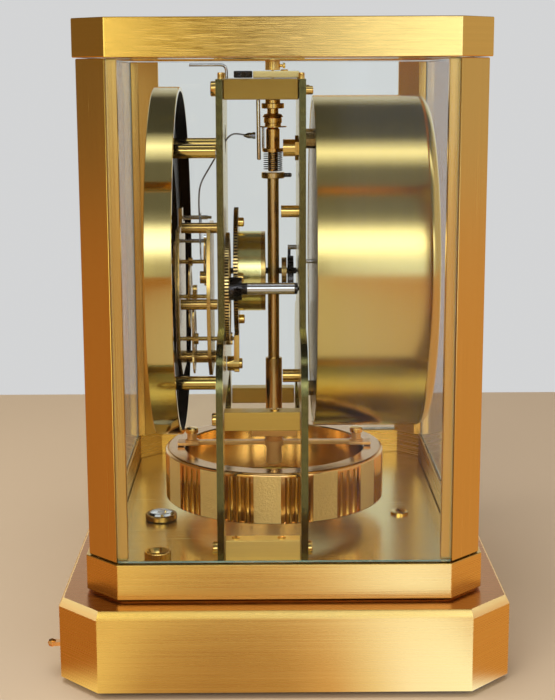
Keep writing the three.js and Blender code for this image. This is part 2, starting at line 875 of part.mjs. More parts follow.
// Movement plates: a tall plate that spreads into two legs round the balance
function plateShape() {
  const shoulderTop = floorTop + shoulderRise;
  const shoulderFoot = shoulderTop - shoulderDrop;
  const spring = floorTop + archSpring;
  const crown = floorTop + archRise;
  const shape = new THREE.Shape();
  shape.moveTo(plateHalfWidth, plateTop);
  shape.lineTo(plateHalfWidth, shoulderTop);
  shape.quadraticCurveTo(legHalfWidth, shoulderTop, legHalfWidth, shoulderFoot);
  shape.lineTo(legHalfWidth, seatZ);
  shape.lineTo(archHalfWidth, seatZ);
  shape.lineTo(archHalfWidth, spring);
  shape.quadraticCurveTo(archHalfWidth, crown, archCrownHalfWidth, crown);
  shape.lineTo(-archCrownHalfWidth, crown);
  shape.quadraticCurveTo(-archHalfWidth, crown, -archHalfWidth, spring);
  shape.lineTo(-archHalfWidth, seatZ);
  shape.lineTo(-legHalfWidth, seatZ);
  shape.lineTo(-legHalfWidth, shoulderFoot);
  shape.quadraticCurveTo(-legHalfWidth, shoulderTop, -plateHalfWidth, shoulderTop);
  shape.lineTo(-plateHalfWidth, plateTop);
  shape.closePath();
  return shape;
}

function buildPlates() {
  const [frontFrom, frontTo] = [frontPlateY - cutOverrun, frontPlateBack + cutOverrun];
  const wireWindow = { x: palletArborX, z: plateTop - wireWindowDrop };
  const front = cut(
    plateY(plateShape(), frontPlateY, frontPlateBack),
    barY(wireWindowRadius, frontFrom, frontTo, wireWindow, smallSides),
    barY(arborRadius + fitGap, frontFrom, frontTo, lower, tinySides),
    pivotHole(second, frontFrom, frontTo),
    pivotHole(drive, frontFrom, frontTo),
  );
  place('front_plate', front, plateBrass);
  const [rearFrom, rearTo] = [rearPlateY - cutOverrun, rearPlateBack + cutOverrun];
  const studAt = (rise) => ({ x: studX, z: dialZ + rise });
  const studded = join(
    plateY(plateShape(), rearPlateY, rearPlateBack),
    barY(upperStudRadius, rearPlateY - upperStudLength, rearPlateBack, studAt(upperStudRise), smallSides),
    barY(upperNutRadius, rearPlateY - upperNutThickness, rearPlateBack, studAt(upperStudRise), hexSides),
    barY(middleStudRadius, rearPlateY - middleStudLength, rearPlateBack, studAt(middleStudRise), smallSides),
    barY(lowerStudRadius, rearPlateY - lowerStudLength, rearPlateBack, studAt(-lowerStudDrop), smallSides),
  );
  const rear = cut(
    studded,
    pivotHole(second, rearFrom, rearTo),
    pivotHole(drive, rearFrom, rearTo),
    barY(drawRodRadius + fitGap, rearFrom, rearTo, centre, tinySides),
  );
  place('rear_plate', rear, plateBrass);
}

function buildBlocks() {
  const between = [frontPlateBack + fitGap, rearPlateY - fitGap];
  const topBlock = cut(
    block([-topBlockHalfWidth, topBlockHalfWidth], between, [blockBottom, plateTop]),
    barZ(topBlockBore, blockBottom - cutOverrun, plateTop + cutOverrun, 0, staffY, mediumSides),
  );
  place('top_block', topBlock, caseBrass);
  const outer = legHalfWidth - stretcherInset;
  const stretchers = [
    ['right_stretcher', 1, nearStretcherRise],
    ['left_stretcher', -1, farStretcherRise],
  ];
  for (const [name, side, rise] of stretchers) {
    const across = [side * outer, side * (outer - stretcherWidth)].sort((a, b) => a - b);
    place(name, block(across, between, [floorTop + rise, floorTop + rise + stretcherHeight]), caseBrass);
  }
  for (const [name, side] of [['right_foot_block', 1], ['left_foot_block', -1]]) {
    const across = [side * outer, side * (outer - footBlockWidth)].sort((a, b) => a - b);
    place(name, block(across, between, [seatZ, seatZ + footBlockHeight]), plateBrass);
  }
}

// Suspension parts on and under the top block
function buildSuspension() {
  const bridge = cut(
    block(
      [-bridgeHalfWidth, bridgeHalfWidth],
      [staffY - bridgeFront, staffY + bridgeBack],
      [bridgeBottom, bridgeTop],
    ),
    barZ(bridgeBore, bridgeBottom - cutOverrun, bridgeTop + cutOverrun, 0, staffY, smallSides),
  );
  place('suspension_bridge', bridge, caseBrass);
  const headBottom = bridgeTop + fitGap;
  const head = turnedZ([
    [0, blockBottom + fitGap], [wireRadius, blockBottom + fitGap], [wireRadius, headBottom],
    [headRadius, headBottom], [headRadius, headBottom + headHeight], [headPinRadius, headBottom + headHeight],
    [headPinRadius, headBottom + headHeight + headPinHeight], [0, headBottom + headHeight + headPinHeight],
  ], 0, staffY, smallSides);
  place('suspension_head', head, polishedBrass);
  const beatDisc = barZ(
    beatDiscRadius, bridgeBottom, bridgeBottom + beatDiscThickness, 0, beatDiscY, mediumSides,
  );
  place('beat_disc', beatDisc, darkSteel);
  const wireZ = bridgeBottom + indexWireLift;
  const bendSize = indexWireFootY - indexWireBendY;
  const wirePath = new THREE.CurvePath();
  const foot = new THREE.Vector3(0, indexWireFootY, bridgeBottom);
  const bendLow = new THREE.Vector3(0, indexWireBendY, wireZ - bendSize);
  const corner = new THREE.Vector3(0, indexWireBendY, wireZ);
  const bendHigh = new THREE.Vector3(0, indexWireBendY - bendSize, wireZ);
  const tip = new THREE.Vector3(0, indexWireTipY, wireZ);
  wirePath.add(new THREE.LineCurve3(foot, bendLow));
  wirePath.add(new THREE.QuadraticBezierCurve3(bendLow, corner, bendHigh));
  wirePath.add(new THREE.LineCurve3(bendHigh, tip));
  place('index_wire', tubeAlong(wirePath, indexWireRadius, curveSteps * 2, tinySides), darkSteel);
  const guardTop = blockBottom - fitGap;
  const lean = (y, z) => ({
    points: [
      [guardX - guardWidth / 2, y - guardThickness / 2], [guardX + guardWidth / 2, y - guardThickness / 2],
      [guardX + guardWidth / 2, y + guardThickness / 2], [guardX - guardWidth / 2, y + guardThickness / 2],
    ],
    z,
  });
  place('guard_strip', lofted([lean(guardFootY, guardTop - guardLength), lean(guardTopY, guardTop)]), steel);
}

// Balance: heavy fluted ring, cross arm with hub, staff, roller stack and damping spring
function buildBalance() {
  const outline = new THREE.Shape();
  const groupAngle = 2 * Math.PI / fluteGroups;
  const flutePoints = flutesPerGroup * 2;
  const points = [];
  for (let group = 0; group < fluteGroups; group += 1) {
    const start = group * groupAngle;
    for (let i = 0; i < flutePoints; i += 1) {
      const angle = start + i / flutePoints * groupAngle * fluteGroupShare;
      points.push([angle, i % 2 === 0 ? ringRadius : ringRadius - fluteDepth]);
    }
    for (let i = 0; i < panelSteps; i += 1) {
      const share = fluteGroupShare + (1 - fluteGroupShare) * i / panelSteps;
      points.push([start + share * groupAngle, ringRadius]);
    }
  }
  outline.setFromPoints(points.map(([angle, radius]) => (
    new THREE.Vector2(radius * Math.cos(angle), radius * Math.sin(angle))
  )));
  const bore = new THREE.Path();
  bore.setFromPoints(Array.from({ length: grandSides }, (_, i) => {
    const angle = i / grandSides * 2 * Math.PI;
    return new THREE.Vector2(ringBore * Math.cos(angle), ringBore * Math.sin(angle));
  }));
  outline.holes.push(bore);
  const ringBottom = floorTop + ringRise;
  const ring = slabZ(outline, ringBottom, ringBottom + ringHeight).translate(0, staffY, 0);
  place('balance_ring', ring, polishedBrass);

  const armTop = hubBottom + armThickness;
  const arm = block(
    [-armHalfWidth, armHalfWidth], [staffY - armHalfLength, staffY + armHalfLength], [hubBottom, armTop],
  );
  const hub = barZ(hubRadius, hubBottom, hubTop, 0, staffY, mediumSides);
  const weights = [1, -1].map((side) => turnedZ(stackedProfile(hubBottom, [
    [armWeightRadius, armThickness + armWeightHeight],
    [armStudRadius, armStudHeight],
  ]), 0, staffY + side * armWeightReach, smallSides));
  place('balance_arm', join(arm, hub, ...weights), copper);

  const staff = turnedZ(stackedProfile(staffBottom, [
    [sleeveRadius, sleeveLength],
    [tubeRadius, tubeLength],
    [collarRadius, collarThickness],
  ]), 0, staffY, mediumSides);
  const pegPlace = { x: 0, z: collarBottom + collarThickness / 2 };
  const peg = barY(collarPegRadius, staffY, staffY + collarPegReach, pegPlace, tinySides);
  place('balance_staff', join(staff, peg), darkBrass);
}

function buildRollerStack() {
  const start = collarTop + fitGap;
  const stack = turnedZ(stackedProfile(start, [
    [coreRadius, coreLength],
    [lowerDiscRadius, lowerDiscThickness],
    [drumSectionRadius, drumSectionLength],
    [coneRadius, coneLength],
    [neckRadius, neckLength],
    [upperCollarRadius, upperCollarLength],
    [capStackRadius, capStackLength],
  ]), 0, staffY, mediumSides);
  const pinZ = start + impulsePinHeight;
  const pin = barY(impulsePinRadius, staffY - impulsePinReach, staffY, { x: 0, z: pinZ }, tinySides);
  const finger = barZ(
    impulsePinRadius, pinZ - impulsePinDrop, pinZ, 0, staffY - impulsePinReach + impulsePinRadius, tinySides,
  );
  const wireZ = start + coreLength + lowerDiscThickness + drumSectionLength + coneLength + neckLength / 2;
  const crossWire = barY(
    crossWireRadius, staffY - crossWireReach, staffY + crossWireReach, { x: 0, z: wireZ }, tinySides,
  );
  place('roller_stack', join(stack, pin, finger, crossWire), polishedBrass);
}

function buildSpring() {
  const steps = springTurns * springStepsPerTurn;
  const bottom = collarTop + springSeatGap + springWireRadius;
  const centreAt = (step) => {
    const angle = step / springStepsPerTurn * 2 * Math.PI;
    return new THREE.Vector3(
      springCoilRadius * Math.cos(angle),
      staffY + springCoilRadius * Math.sin(angle),
      bottom + step / springStepsPerTurn * springPitch,
    );
  };
  const positions = [];
  for (let step = 0; step <= steps; step += 1) {
    const middle = centreAt(step);
    const outward = new THREE.Vector3(middle.x, middle.y - staffY, 0).normalize();
    for (let i = 0; i < springWireSides; i += 1) {
      const angle = i / springWireSides * 2 * Math.PI;
      const point = middle.clone().addScaledVector(outward, springWireRadius * Math.cos(angle));
      positions.push(point.x, point.y, point.z + springWireRadius * Math.sin(angle));
    }
  }
  const index = [];
  for (let step = 0; step < steps; step += 1) {
    for (let i = 0; i < springWireSides; i += 1) {
      const next = (i + 1) % springWireSides;
      const [a, b] = [step * springWireSides + i, step * springWireSides + next];
      index.push(a, b, b + springWireSides, a, b + springWireSides, a + springWireSides);
    }
  }
  const last = steps * springWireSides;
  for (let i = 1; i < springWireSides - 1; i += 1) {
    index.push(0, i + 1, i);
    index.push(last, last + i, last + i + 1);
  }
  const geometry = new THREE.BufferGeometry();
  geometry.setAttribute('position', new THREE.BufferAttribute(new Float32Array(positions), 3));
  geometry.setIndex(index);
  place('damping_spring', geometry, darkSteel);

  let leastGap = Infinity;
  for (let a = 0; a <= steps; a += 1) {
    for (let b = a + springStepsPerTurn / 2; b <= steps; b += 1) {
      leastGap = Math.min(leastGap, centreAt(a).distanceTo(centreAt(b)) - 2 * springWireRadius);
    }
  }
  console.log(`damping spring: least gap between turns ${leastGap.toFixed(2)} mm`);
}

// Dial ring, chapter ring on its pillars, and hands
const dialBackY = dialFrontY + dialDepth;
const faceFrontY = dialFrontY + dialFaceRecess;
const faceBackY = faceFrontY + dialFaceThickness;

function buildDial() {
  const rim = turnedY([
    [dialRadius - dialWall, dialBackY], [dialRadius, dialBackY], [dialRadius, dialFrontY],
    [dialRadius - dialBezelWidth, dialFrontY], [dialRadius - dialBezelWidth, dialFrontY + dialBezelThickness],
    [dialRadius - dialWall, dialFrontY + dialBezelThickness], [dialRadius - dialWall, dialBackY],
  ], centre, grandSides);
  place('dial_ring', rim, polishedBrass);

  const faceBore = dialRadius - dialBoreInset;
  const faceEdge = dialRadius - dialWall - fitGap;
  const face = turnedY(ringProfile(faceBore, faceEdge, faceFrontY, faceBackY), centre, grandSides);
  const markMiddle = dialRadius - markInset - markLength / 2;
  const marks = Array.from({ length: markCount }, (_, i) => {
    const angle = i / markCount * 2 * Math.PI;
    const mark = new THREE.BoxGeometry(markWidth, markHeight * 2, markLength);
    return mark.translate(0, faceFrontY, markMiddle).rotateY(angle).translate(0, 0, dialZ);
  });
  const pillars = [];
  for (const side of [-1, 1]) {
    for (const [way, inset] of [[1, upperPillarInset], [-1, lowerPillarInset]]) {
      const rise = Math.sqrt((dialRadius - inset) ** 2 - dialPillarX ** 2);
      const spot = { x: side * dialPillarX, z: dialZ + way * rise };
      const front = faceBackY - dialFaceThickness / 2;
      pillars.push(barY(dialPillarRadius, front, frontPlateY - fitGap, spot, smallSides));
    }
  }
  place('dial_plate', join(face, ...marks, ...pillars), dialWhite);
}

const handBoreRadius = arborRadius + fitGap;
const hourPipeRadius = handBoreRadius + 2 * fitGap;
const minuteHandFront = dialFrontY + dialBezelThickness;
const hourHandFront = minuteHandFront + handThickness + handSpacing;

function handShape(length, width, tail, angle) {
  const shoulder = length * handShoulderShare;
  const tailHalf = width / 2 * handTailShare;
  const points = [
    [-tailHalf, -tail], [tailHalf, -tail], [width / 2, shoulder], [0, length], [-width / 2, shoulder],
  ];
  const [sine, cosine] = [Math.sin(angle), Math.cos(angle)];
  return polygon(points.map(([x, z]) => [x * cosine + z * sine, dialZ + z * cosine - x * sine]));
}

function buildHands() {
  const minuteShare = shownMinute / minutesPerTurn;
  const hourShare = (shownHour + minuteShare) / hoursPerTurn;
  const minuteLength = dialRadius - minuteHandInset;
  const hourLength = dialRadius - hourHandInset;
  const minuteShape = handShape(minuteLength, minuteHandWidth, handTailLength, minuteShare * 2 * Math.PI);
  const hourShape = handShape(hourLength, hourHandWidth, handTailLength, hourShare * 2 * Math.PI);
  const hands = [
    ['minute_hand', minuteShape, minuteHandFront, handBoreRadius],
    ['hour_hand', hourShape, hourHandFront, hourPipeRadius + fitGap],
  ];
  for (const [name, shape, front, boreRadius] of hands) {
    const back = front + handThickness;
    const blank = join(
      plateY(shape, front, back),
      barY(handHubRadius, front, back, centre, mediumSides),
    );
    const bore = barY(boreRadius, front - cutOverrun, back + cutOverrun, centre, smallSides);
    place(name, cut(blank, bore), darkSteel);
  }
}

// Motion module: two small plates on three pillars in front of the front plate
function moduleSpot([across, up]) {
  return { x: moduleMiddleX + across * moduleHalfWidth, z: dialZ - moduleDrop + up * moduleHeight };
}

function moduleOutline() {
  return polygon(modulePlateShares.map(moduleSpot).map(({ x, z }) => [x, z]));
}

function buildModulePlates() {
  const rearBars = modulePillarShares.map(moduleSpot).map((spot) => (
    barY(modulePillarRadius, moduleFrontBack + fitGap, frontPlateY - fitGap, spot, smallSides)
  ));
  const bush = barY(
    bushRadius, moduleRearFront - bushLength, moduleRearBack, { x: bushX, z: dialZ - bushDrop }, smallSides,
  );
  const [rearFrom, rearTo] = [moduleRearFront - cutOverrun, moduleRearBack + cutOverrun];
  const rear = cut(
    join(plateY(moduleOutline(), moduleRearFront, moduleRearBack), ...rearBars, bush),
    barY(arborRadius + fitGap, rearFrom, rearTo, lower, tinySides),
    ...[centre, third, escape, pallet].map((arbor) => pivotHole(arbor, rearFrom, rearTo)),
  );
  place('module_rear_plate', rear, darkBrass);
  const tongue = block(
    [pallet.x - moduleTongueHalfWidth, pallet.x + moduleTongueHalfWidth],
    [moduleFrontY, moduleFrontBack],
    [dialZ, dialZ + moduleTongueRise],
  );
  const [frontFrom, frontTo] = [moduleFrontY - cutOverrun, moduleFrontBack + cutOverrun];
  const front = cut(
    join(plateY(moduleOutline(), moduleFrontY, moduleFrontBack), tongue),
    barY(handBoreRadius, frontFrom, frontTo, centre, tinySides),
    ...[third, escape, pallet, lower, motion].map((arbor) => pivotHole(arbor, frontFrom, frontTo)),
  );
  place('module_front_plate', front, darkBrass);
}

// Train: each wheel's radius follows from the distance between its arbor and its neighbour's
const barrelPitch = pitchRadiusOf(drive, barrelTeeth, second, secondPinionTeeth);
const secondPinionPitch = pitchRadiusOf(second, secondPinionTeeth, drive, barrelTeeth);
const secondWheelPitch = pitchRadiusOf(second, secondWheelTeeth, lower, lowerPinionTeeth);
const lowerPinionPitch = pitchRadiusOf(lower, lowerPinionTeeth, second, secondWheelTeeth);
const lowerWheelPitch = pitchRadiusOf(lower, lowerWheelTeeth, third, thirdPinionTeeth);
const thirdPinionPitch = pitchRadiusOf(third, thirdPinionTeeth, lower, lowerWheelTeeth);
const thirdWheelPitch = pitchRadiusOf(third, thirdWheelTeeth, centre, centrePinionTeeth);
const centrePinionPitch = pitchRadiusOf(centre, centrePinionTeeth, third, thirdWheelTeeth);
const centreWheelPitch = pitchRadiusOf(centre, centreWheelTeeth, escape, escapePinionTeeth);
const escapePinionPitch = pitchRadiusOf(escape, escapePinionTeeth, centre, centreWheelTeeth);
const cannonPitch = pitchRadiusOf(centre, cannonTeeth, motion, minuteWheelTeeth);
const minuteWheelPitch = pitchRadiusOf(motion, minuteWheelTeeth, centre, cannonTeeth);
const minutePinionPitch = pitchRadiusOf(motion, minutePinionTeeth, centre, hourWheelTeeth);
const hourWheelPitch = pitchRadiusOf(centre, hourWheelTeeth, motion, minutePinionTeeth);

const secondPinionPhase = meshedPhase(drive, barrelTeeth, 0, second, secondPinionTeeth);
const lowerPinionPhase = meshedPhase(second, secondWheelTeeth, 0, lower, lowerPinionTeeth);
const thirdPinionPhase = meshedPhase(lower, lowerWheelTeeth, 0, third, thirdPinionTeeth);
const centrePinionPhase = meshedPhase(third, thirdWheelTeeth, 0, centre, centrePinionTeeth);
const escapePinionPhase = meshedPhase(centre, centreWheelTeeth, 0, escape, escapePinionTeeth);
const minuteWheelPhase = meshedPhase(centre, cannonTeeth, 0, motion, minuteWheelTeeth);
const hourWheelPhase = meshedPhase(motion, minutePinionTeeth, 0, centre, hourWheelTeeth);

// Layers of the going train, from the front plate backwards
const secondWheelY = frontPlateBack + wheelPlateGap;
const barrelWheelY = frontPlateBack + barrelWheelOffset;
const barrelWheelBack = barrelWheelY + barrelWheelThickness;
const cockY = frontPlateBack + cockStandoff;
// Layers of the module, from its front plate backwards
const moduleInside = moduleFrontBack;
const thirdWheelY = moduleInside + thirdWheelOffset;
const lowerWheelY = moduleInside + lowerWheelOffset;
const escapeWheelY = moduleInside + escapeWheelOffset;
const centreWheelY = moduleInside + centreWheelOffset;
const moduleEnd = moduleRearFront;

function buildBarrel() {
  const shape = toothedShape(barrelTeeth, barrelPitch, 0, drive);
  const wheel = plateY(shape, barrelWheelY, barrelWheelBack);
  const cup = barY(cupRadius, barrelWheelBack - fitGap, barrelWheelBack + cupLength, drive, largeSides);
  const bore = barY(
    cupBore, barrelWheelY - cutOverrun, barrelWheelBack + cupLength + cutOverrun, drive, smallSides,
  );
  place('barrel', cut(join(wheel, cup), bore), polishedBrass);

  const pulleyY = rearPlateY - pulleyOffset;
  const ratchetY = rearPlateY - ratchetOffset;
  const arbor = turnedY(stackedProfile(frontPlateY + fitGap, [
    [pivotRadius, plateThickness],
    [driveArborRadius, plateSpacing - 2 * fitGap],
    [pivotRadius, plateThickness - fitGap],
  ]), drive, smallSides);
  const teeth = [];
  for (let i = 0; i < ratchetTeeth; i += 1) {
    for (const [radius, half] of [[ratchetRadius, 0], [ratchetRadius - ratchetDepth, 1]]) {
      const angle = (i + half * ratchetBackShare) / ratchetTeeth * 2 * Math.PI;
      teeth.push([drive.x + radius * Math.cos(angle), drive.z + radius * Math.sin(angle)]);
    }
  }
  const ratchet = plateY(polygon(teeth), ratchetY, ratchetY + ratchetThickness);
  place('winding_arbor', join(arbor, ratchet), darkSteel);
  const pulleyBore = driveArborRadius + fitGap;
  const pulleyProfile = ringProfile(pulleyBore, pulleyRadius, pulleyY, pulleyY + pulleyThickness);
  place('chain_pulley', turnedY(pulleyProfile, drive, mediumSides), darkBrass);

  const clickPivot = { x: drive.x + clickX, z: drive.z + ratchetRadius + clickRise };
  const pivot = barY(clickWidth / 2, ratchetY, rearPlateY - fitGap, clickPivot, tinySides);
  const reach = ratchetRadius + 2 * fitGap;
  const tipAngle = Math.PI / 2 - clickX / 2 / reach;
  const tip = [drive.x + reach * Math.cos(tipAngle), drive.z + reach * Math.sin(tipAngle)];
  const pawl = plateY(polygon([
    [clickPivot.x - clickWidth / 2, clickPivot.z], [clickPivot.x, clickPivot.z - clickWidth / 2],
    [clickPivot.x + clickWidth / 2, clickPivot.z], tip,
  ]), ratchetY, ratchetY + ratchetThickness / 2);
  place('click', join(pivot, pawl), steel);
}

function buildSecondWheel() {
  const shape = toothedShape(secondWheelTeeth, secondWheelPitch, 0, second);
  const hubEdge = secondPinionPitch * secondHubShare;
  const rimEdge = secondWheelPitch * wheelRimShare;
  shape.holes.push(...crossings(second, hubEdge, rimEdge, secondWheelArms));
  const wheel = plateY(shape, secondWheelY, secondWheelY + wheelThickness);
  const pinionBack = barrelWheelY - pinionCollar + secondPinionLength;
  const pinion = plateY(
    toothedShape(secondPinionTeeth, secondPinionPitch, secondPinionPhase, second),
    secondWheelY, pinionBack,
  );
  const arbor = turnedY([
    [0, frontPlateY + fitGap], [pivotRadius, frontPlateY + fitGap], [pivotRadius, secondWheelY],
    [secondArborRadius, secondWheelY], [secondArborRadius, rearPlateY - 2 * fitGap],
    [pivotRadius, rearPlateY - fitGap], [pivotRadius, rearPlateBack - fitGap], [0, rearPlateBack - fitGap],
  ], second, smallSides);
  place('second_wheel', join(wheel, pinion, arbor), steel);
}

function buildLowerWheel() {
  const shape = toothedShape(lowerWheelTeeth, lowerWheelPitch, 0, lower);
  const hubEdge = thirdPinionPitch * lowerHubShare;
  shape.holes.push(...crossings(lower, hubEdge, lowerWheelPitch * wheelRimShare, wheelArms));
  const wheel = plateY(shape, lowerWheelY, lowerWheelY + fineWheelThickness);
  const pinion = plateY(
    toothedShape(lowerPinionTeeth, lowerPinionPitch, lowerPinionPhase, lower),
    frontPlateBack + fitGap, cockY - 2 * fitGap,
  );
  const arbor = turnedY([
    [0, moduleFrontY + fitGap], [pivotRadius, moduleFrontY + fitGap], [pivotRadius, moduleInside + fitGap],
    [arborRadius, moduleInside + fitGap], [arborRadius, cockY - fitGap],
    [pivotRadius, cockY - fitGap], [pivotRadius, cockY + cockThickness - fitGap],
    [0, cockY + cockThickness - fitGap],
  ], lower, tinySides);
  const boss = barY(thirdPinionPitch / 2, lowerWheelY, lowerWheelY + lowerBossLength, lower, smallSides);
  place('day_wheel', join(wheel, pinion, arbor, boss), polishedBrass);

  const cockFootZ = lower.z - cockDrop;
  const strap = block(
    [lower.x - cockWidth / 2, lower.x + cockWidth / 2],
    [cockY, cockY + cockThickness],
    [cockFootZ - cockPillarRadius, lower.z + cockHeadRise],
  );
  const cockFoot = { x: lower.x, z: cockFootZ };
  const pillar = barY(cockPillarRadius, frontPlateBack + fitGap, cockY + cockThickness, cockFoot, smallSides);
  const cock = cut(
    join(strap, pillar),
    pivotHole(lower, cockY - cutOverrun, cockY + cockThickness + cutOverrun),
  );
  place('lower_cock', cock, polishedBrass);
}

function moduleArbor(arbor, radius) {
  return turnedY(stackedProfile(moduleFrontY + fitGap, [
    [pivotRadius, modulePlateThickness],
    [radius, moduleSpacing - 2 * fitGap],
    [pivotRadius, modulePlateThickness],
  ]), arbor, tinySides);
}

function buildModuleTrain() {
  const thirdShape = toothedShape(thirdWheelTeeth, thirdWheelPitch, 0, third);
  const thirdHubEdge = thirdPinionPitch * thirdHubShare;
  thirdShape.holes.push(...crossings(third, thirdHubEdge, thirdWheelPitch * wheelRimShare, wheelArms));
  const thirdWheel = plateY(thirdShape, thirdWheelY, thirdWheelY + fineWheelThickness);
  const thirdPinion = plateY(
    toothedShape(thirdPinionTeeth, thirdPinionPitch, thirdPinionPhase, third),
    lowerWheelY - pinionCollar, lowerWheelY + fineWheelThickness + pinionCollar,
  );
  place('third_wheel', join(thirdWheel, thirdPinion, moduleArbor(third, arborRadius)), polishedBrass);

  const centreShape = toothedShape(centreWheelTeeth, centreWheelPitch, 0, centre);
  const centreHubEdge = centreWheelPitch * centreHubShare;
  centreShape.holes.push(...crossings(centre, centreHubEdge, centreWheelPitch * wheelRimShare, wheelArms));
  const centreWheel = plateY(centreShape, centreWheelY, centreWheelY + fineWheelThickness);
  const centrePinion = plateY(
    toothedShape(centrePinionTeeth, centrePinionPitch, centrePinionPhase, centre),
    thirdWheelY - pinionCollar, thirdWheelY + fineWheelThickness + pinionCollar,
  );
  const cannonBack = moduleFrontY - fitGap;
  const cannonPinion = plateY(
    toothedShape(cannonTeeth, cannonPitch, 0, centre), cannonBack - motionLayer, cannonBack,
  );
  const nutFront = minuteHandFront - fitGap - handNutLength;
  const centreArbor = turnedY([
    [0, nutFront], [handNutRadius, nutFront], [handNutRadius, nutFront + handNutLength],
    [arborRadius, nutFront + handNutLength], [arborRadius, moduleEnd - fitGap],
    [pivotRadius, moduleEnd - fitGap], [pivotRadius, moduleRearBack - fitGap], [0, moduleRearBack - fitGap],
  ], centre, tinySides);
  place('centre_wheel', join(centreWheel, centrePinion, cannonPinion, centreArbor), polishedBrass);

  const wheelBack = cannonBack - pinionCollar / 2;
  const minuteWheel = plateY(
    toothedShape(minuteWheelTeeth, minuteWheelPitch, minuteWheelPhase, motion),
    wheelBack - fineWheelThickness, wheelBack,
  );
  const pinionFront = cannonBack - 2 * motionLayer - fitGap;
  const minutePinion = plateY(
    toothedShape(minutePinionTeeth, minutePinionPitch, 0, motion), pinionFront, wheelBack,
  );
  const motionStud = barY(pivotRadius, pinionFront, moduleFrontBack - fitGap, motion, tinySides);
  place('minute_wheel', join(minuteWheel, minutePinion, motionStud), darkBrass);
  const hourBack = pinionFront + motionLayer;
  const hourWheel = plateY(
    toothedShape(hourWheelTeeth, hourWheelPitch, hourWheelPhase, centre),
    hourBack - fineWheelThickness, hourBack,
  );
  const pipe = barY(hourPipeRadius, hourHandFront, hourBack, centre, smallSides);
  const hourBore = barY(handBoreRadius, hourHandFront - cutOverrun, hourBack + cutOverrun, centre, tinySides);
  place('hour_wheel', cut(join(hourWheel, pipe), hourBore), darkBrass);
}

function buildEscapement() {
  const points = [];
  for (let i = 0; i < escapeWheelTeeth; i += 1) {
    for (const share of [0, ...escapeGapShares]) {
      const radius = share === 0 ? escapeWheelRadius : escapeWheelRadius - escapeToothDepth;
      const angle = (i + share) / escapeWheelTeeth * 2 * Math.PI;
      points.push([escape.x + radius * Math.cos(angle), escape.z + radius * Math.sin(angle)]);
    }
  }
  const wheel = plateY(polygon(points), escapeWheelY, escapeWheelY + fineWheelThickness);
  const pinion = plateY(
    toothedShape(escapePinionTeeth, escapePinionPitch, escapePinionPhase, escape),
    centreWheelY - pinionCollar, centreWheelY + fineWheelThickness + pinionCollar,
  );
  place('escape_wheel', join(wheel, pinion, moduleArbor(escape, arborRadius)), steel);

  const towardPallets = Math.atan2(pallet.z - escape.z, pallet.x - escape.x);
  const span = THREE.MathUtils.degToRad(palletSpanDegrees);
  const reach = distanceBetween(escape, pallet);
  const inner = escapeWheelRadius + palletClearance;
  const anchorPoints = palletShares.map(([turn, share]) => {
    const angle = towardPallets + turn * span;
    const radius = inner + (reach - inner) * share;
    return [escape.x + radius * Math.cos(angle), escape.z + radius * Math.sin(angle)];
  });
  const anchor = plateY(polygon(anchorPoints), escapeWheelY, escapeWheelY + fineWheelThickness);
  const wireY = escapeWheelY + fineWheelThickness / 2;
  const tipZ = plateTop - forkTipDrop;
  const plateApproach = frontPlateY - plateThickness / 2 - wireY;
  const bends = forkRouteShares.map(([across, up]) => (
    new THREE.Vector3(pallet.x, wireY + plateApproach * across, pallet.z + (tipZ - pallet.z) * up)
  ));
  const route = new THREE.CatmullRomCurve3([
    new THREE.Vector3(pallet.x, wireY, pallet.z),
    ...bends,
    new THREE.Vector3(pallet.x, frontPlateBack, tipZ),
    new THREE.Vector3(pallet.x, forkTipFrontY + fitGap, tipZ),
  ]);
  const wire = tubeAlong(route, forkWireRadius, forkWireSteps, hexSides);
  const tip = turnedY([
    [0, forkTipFrontY], [forkTipRadius, forkTipFrontY], [forkTipRadius / 2, forkTipBackY], [0, forkTipBackY],
  ], { x: pallet.x, z: tipZ }, tinySides);
  place('pallet_fork', join(anchor, moduleArbor(pallet, arborRadius), wire, tip), steel);
}

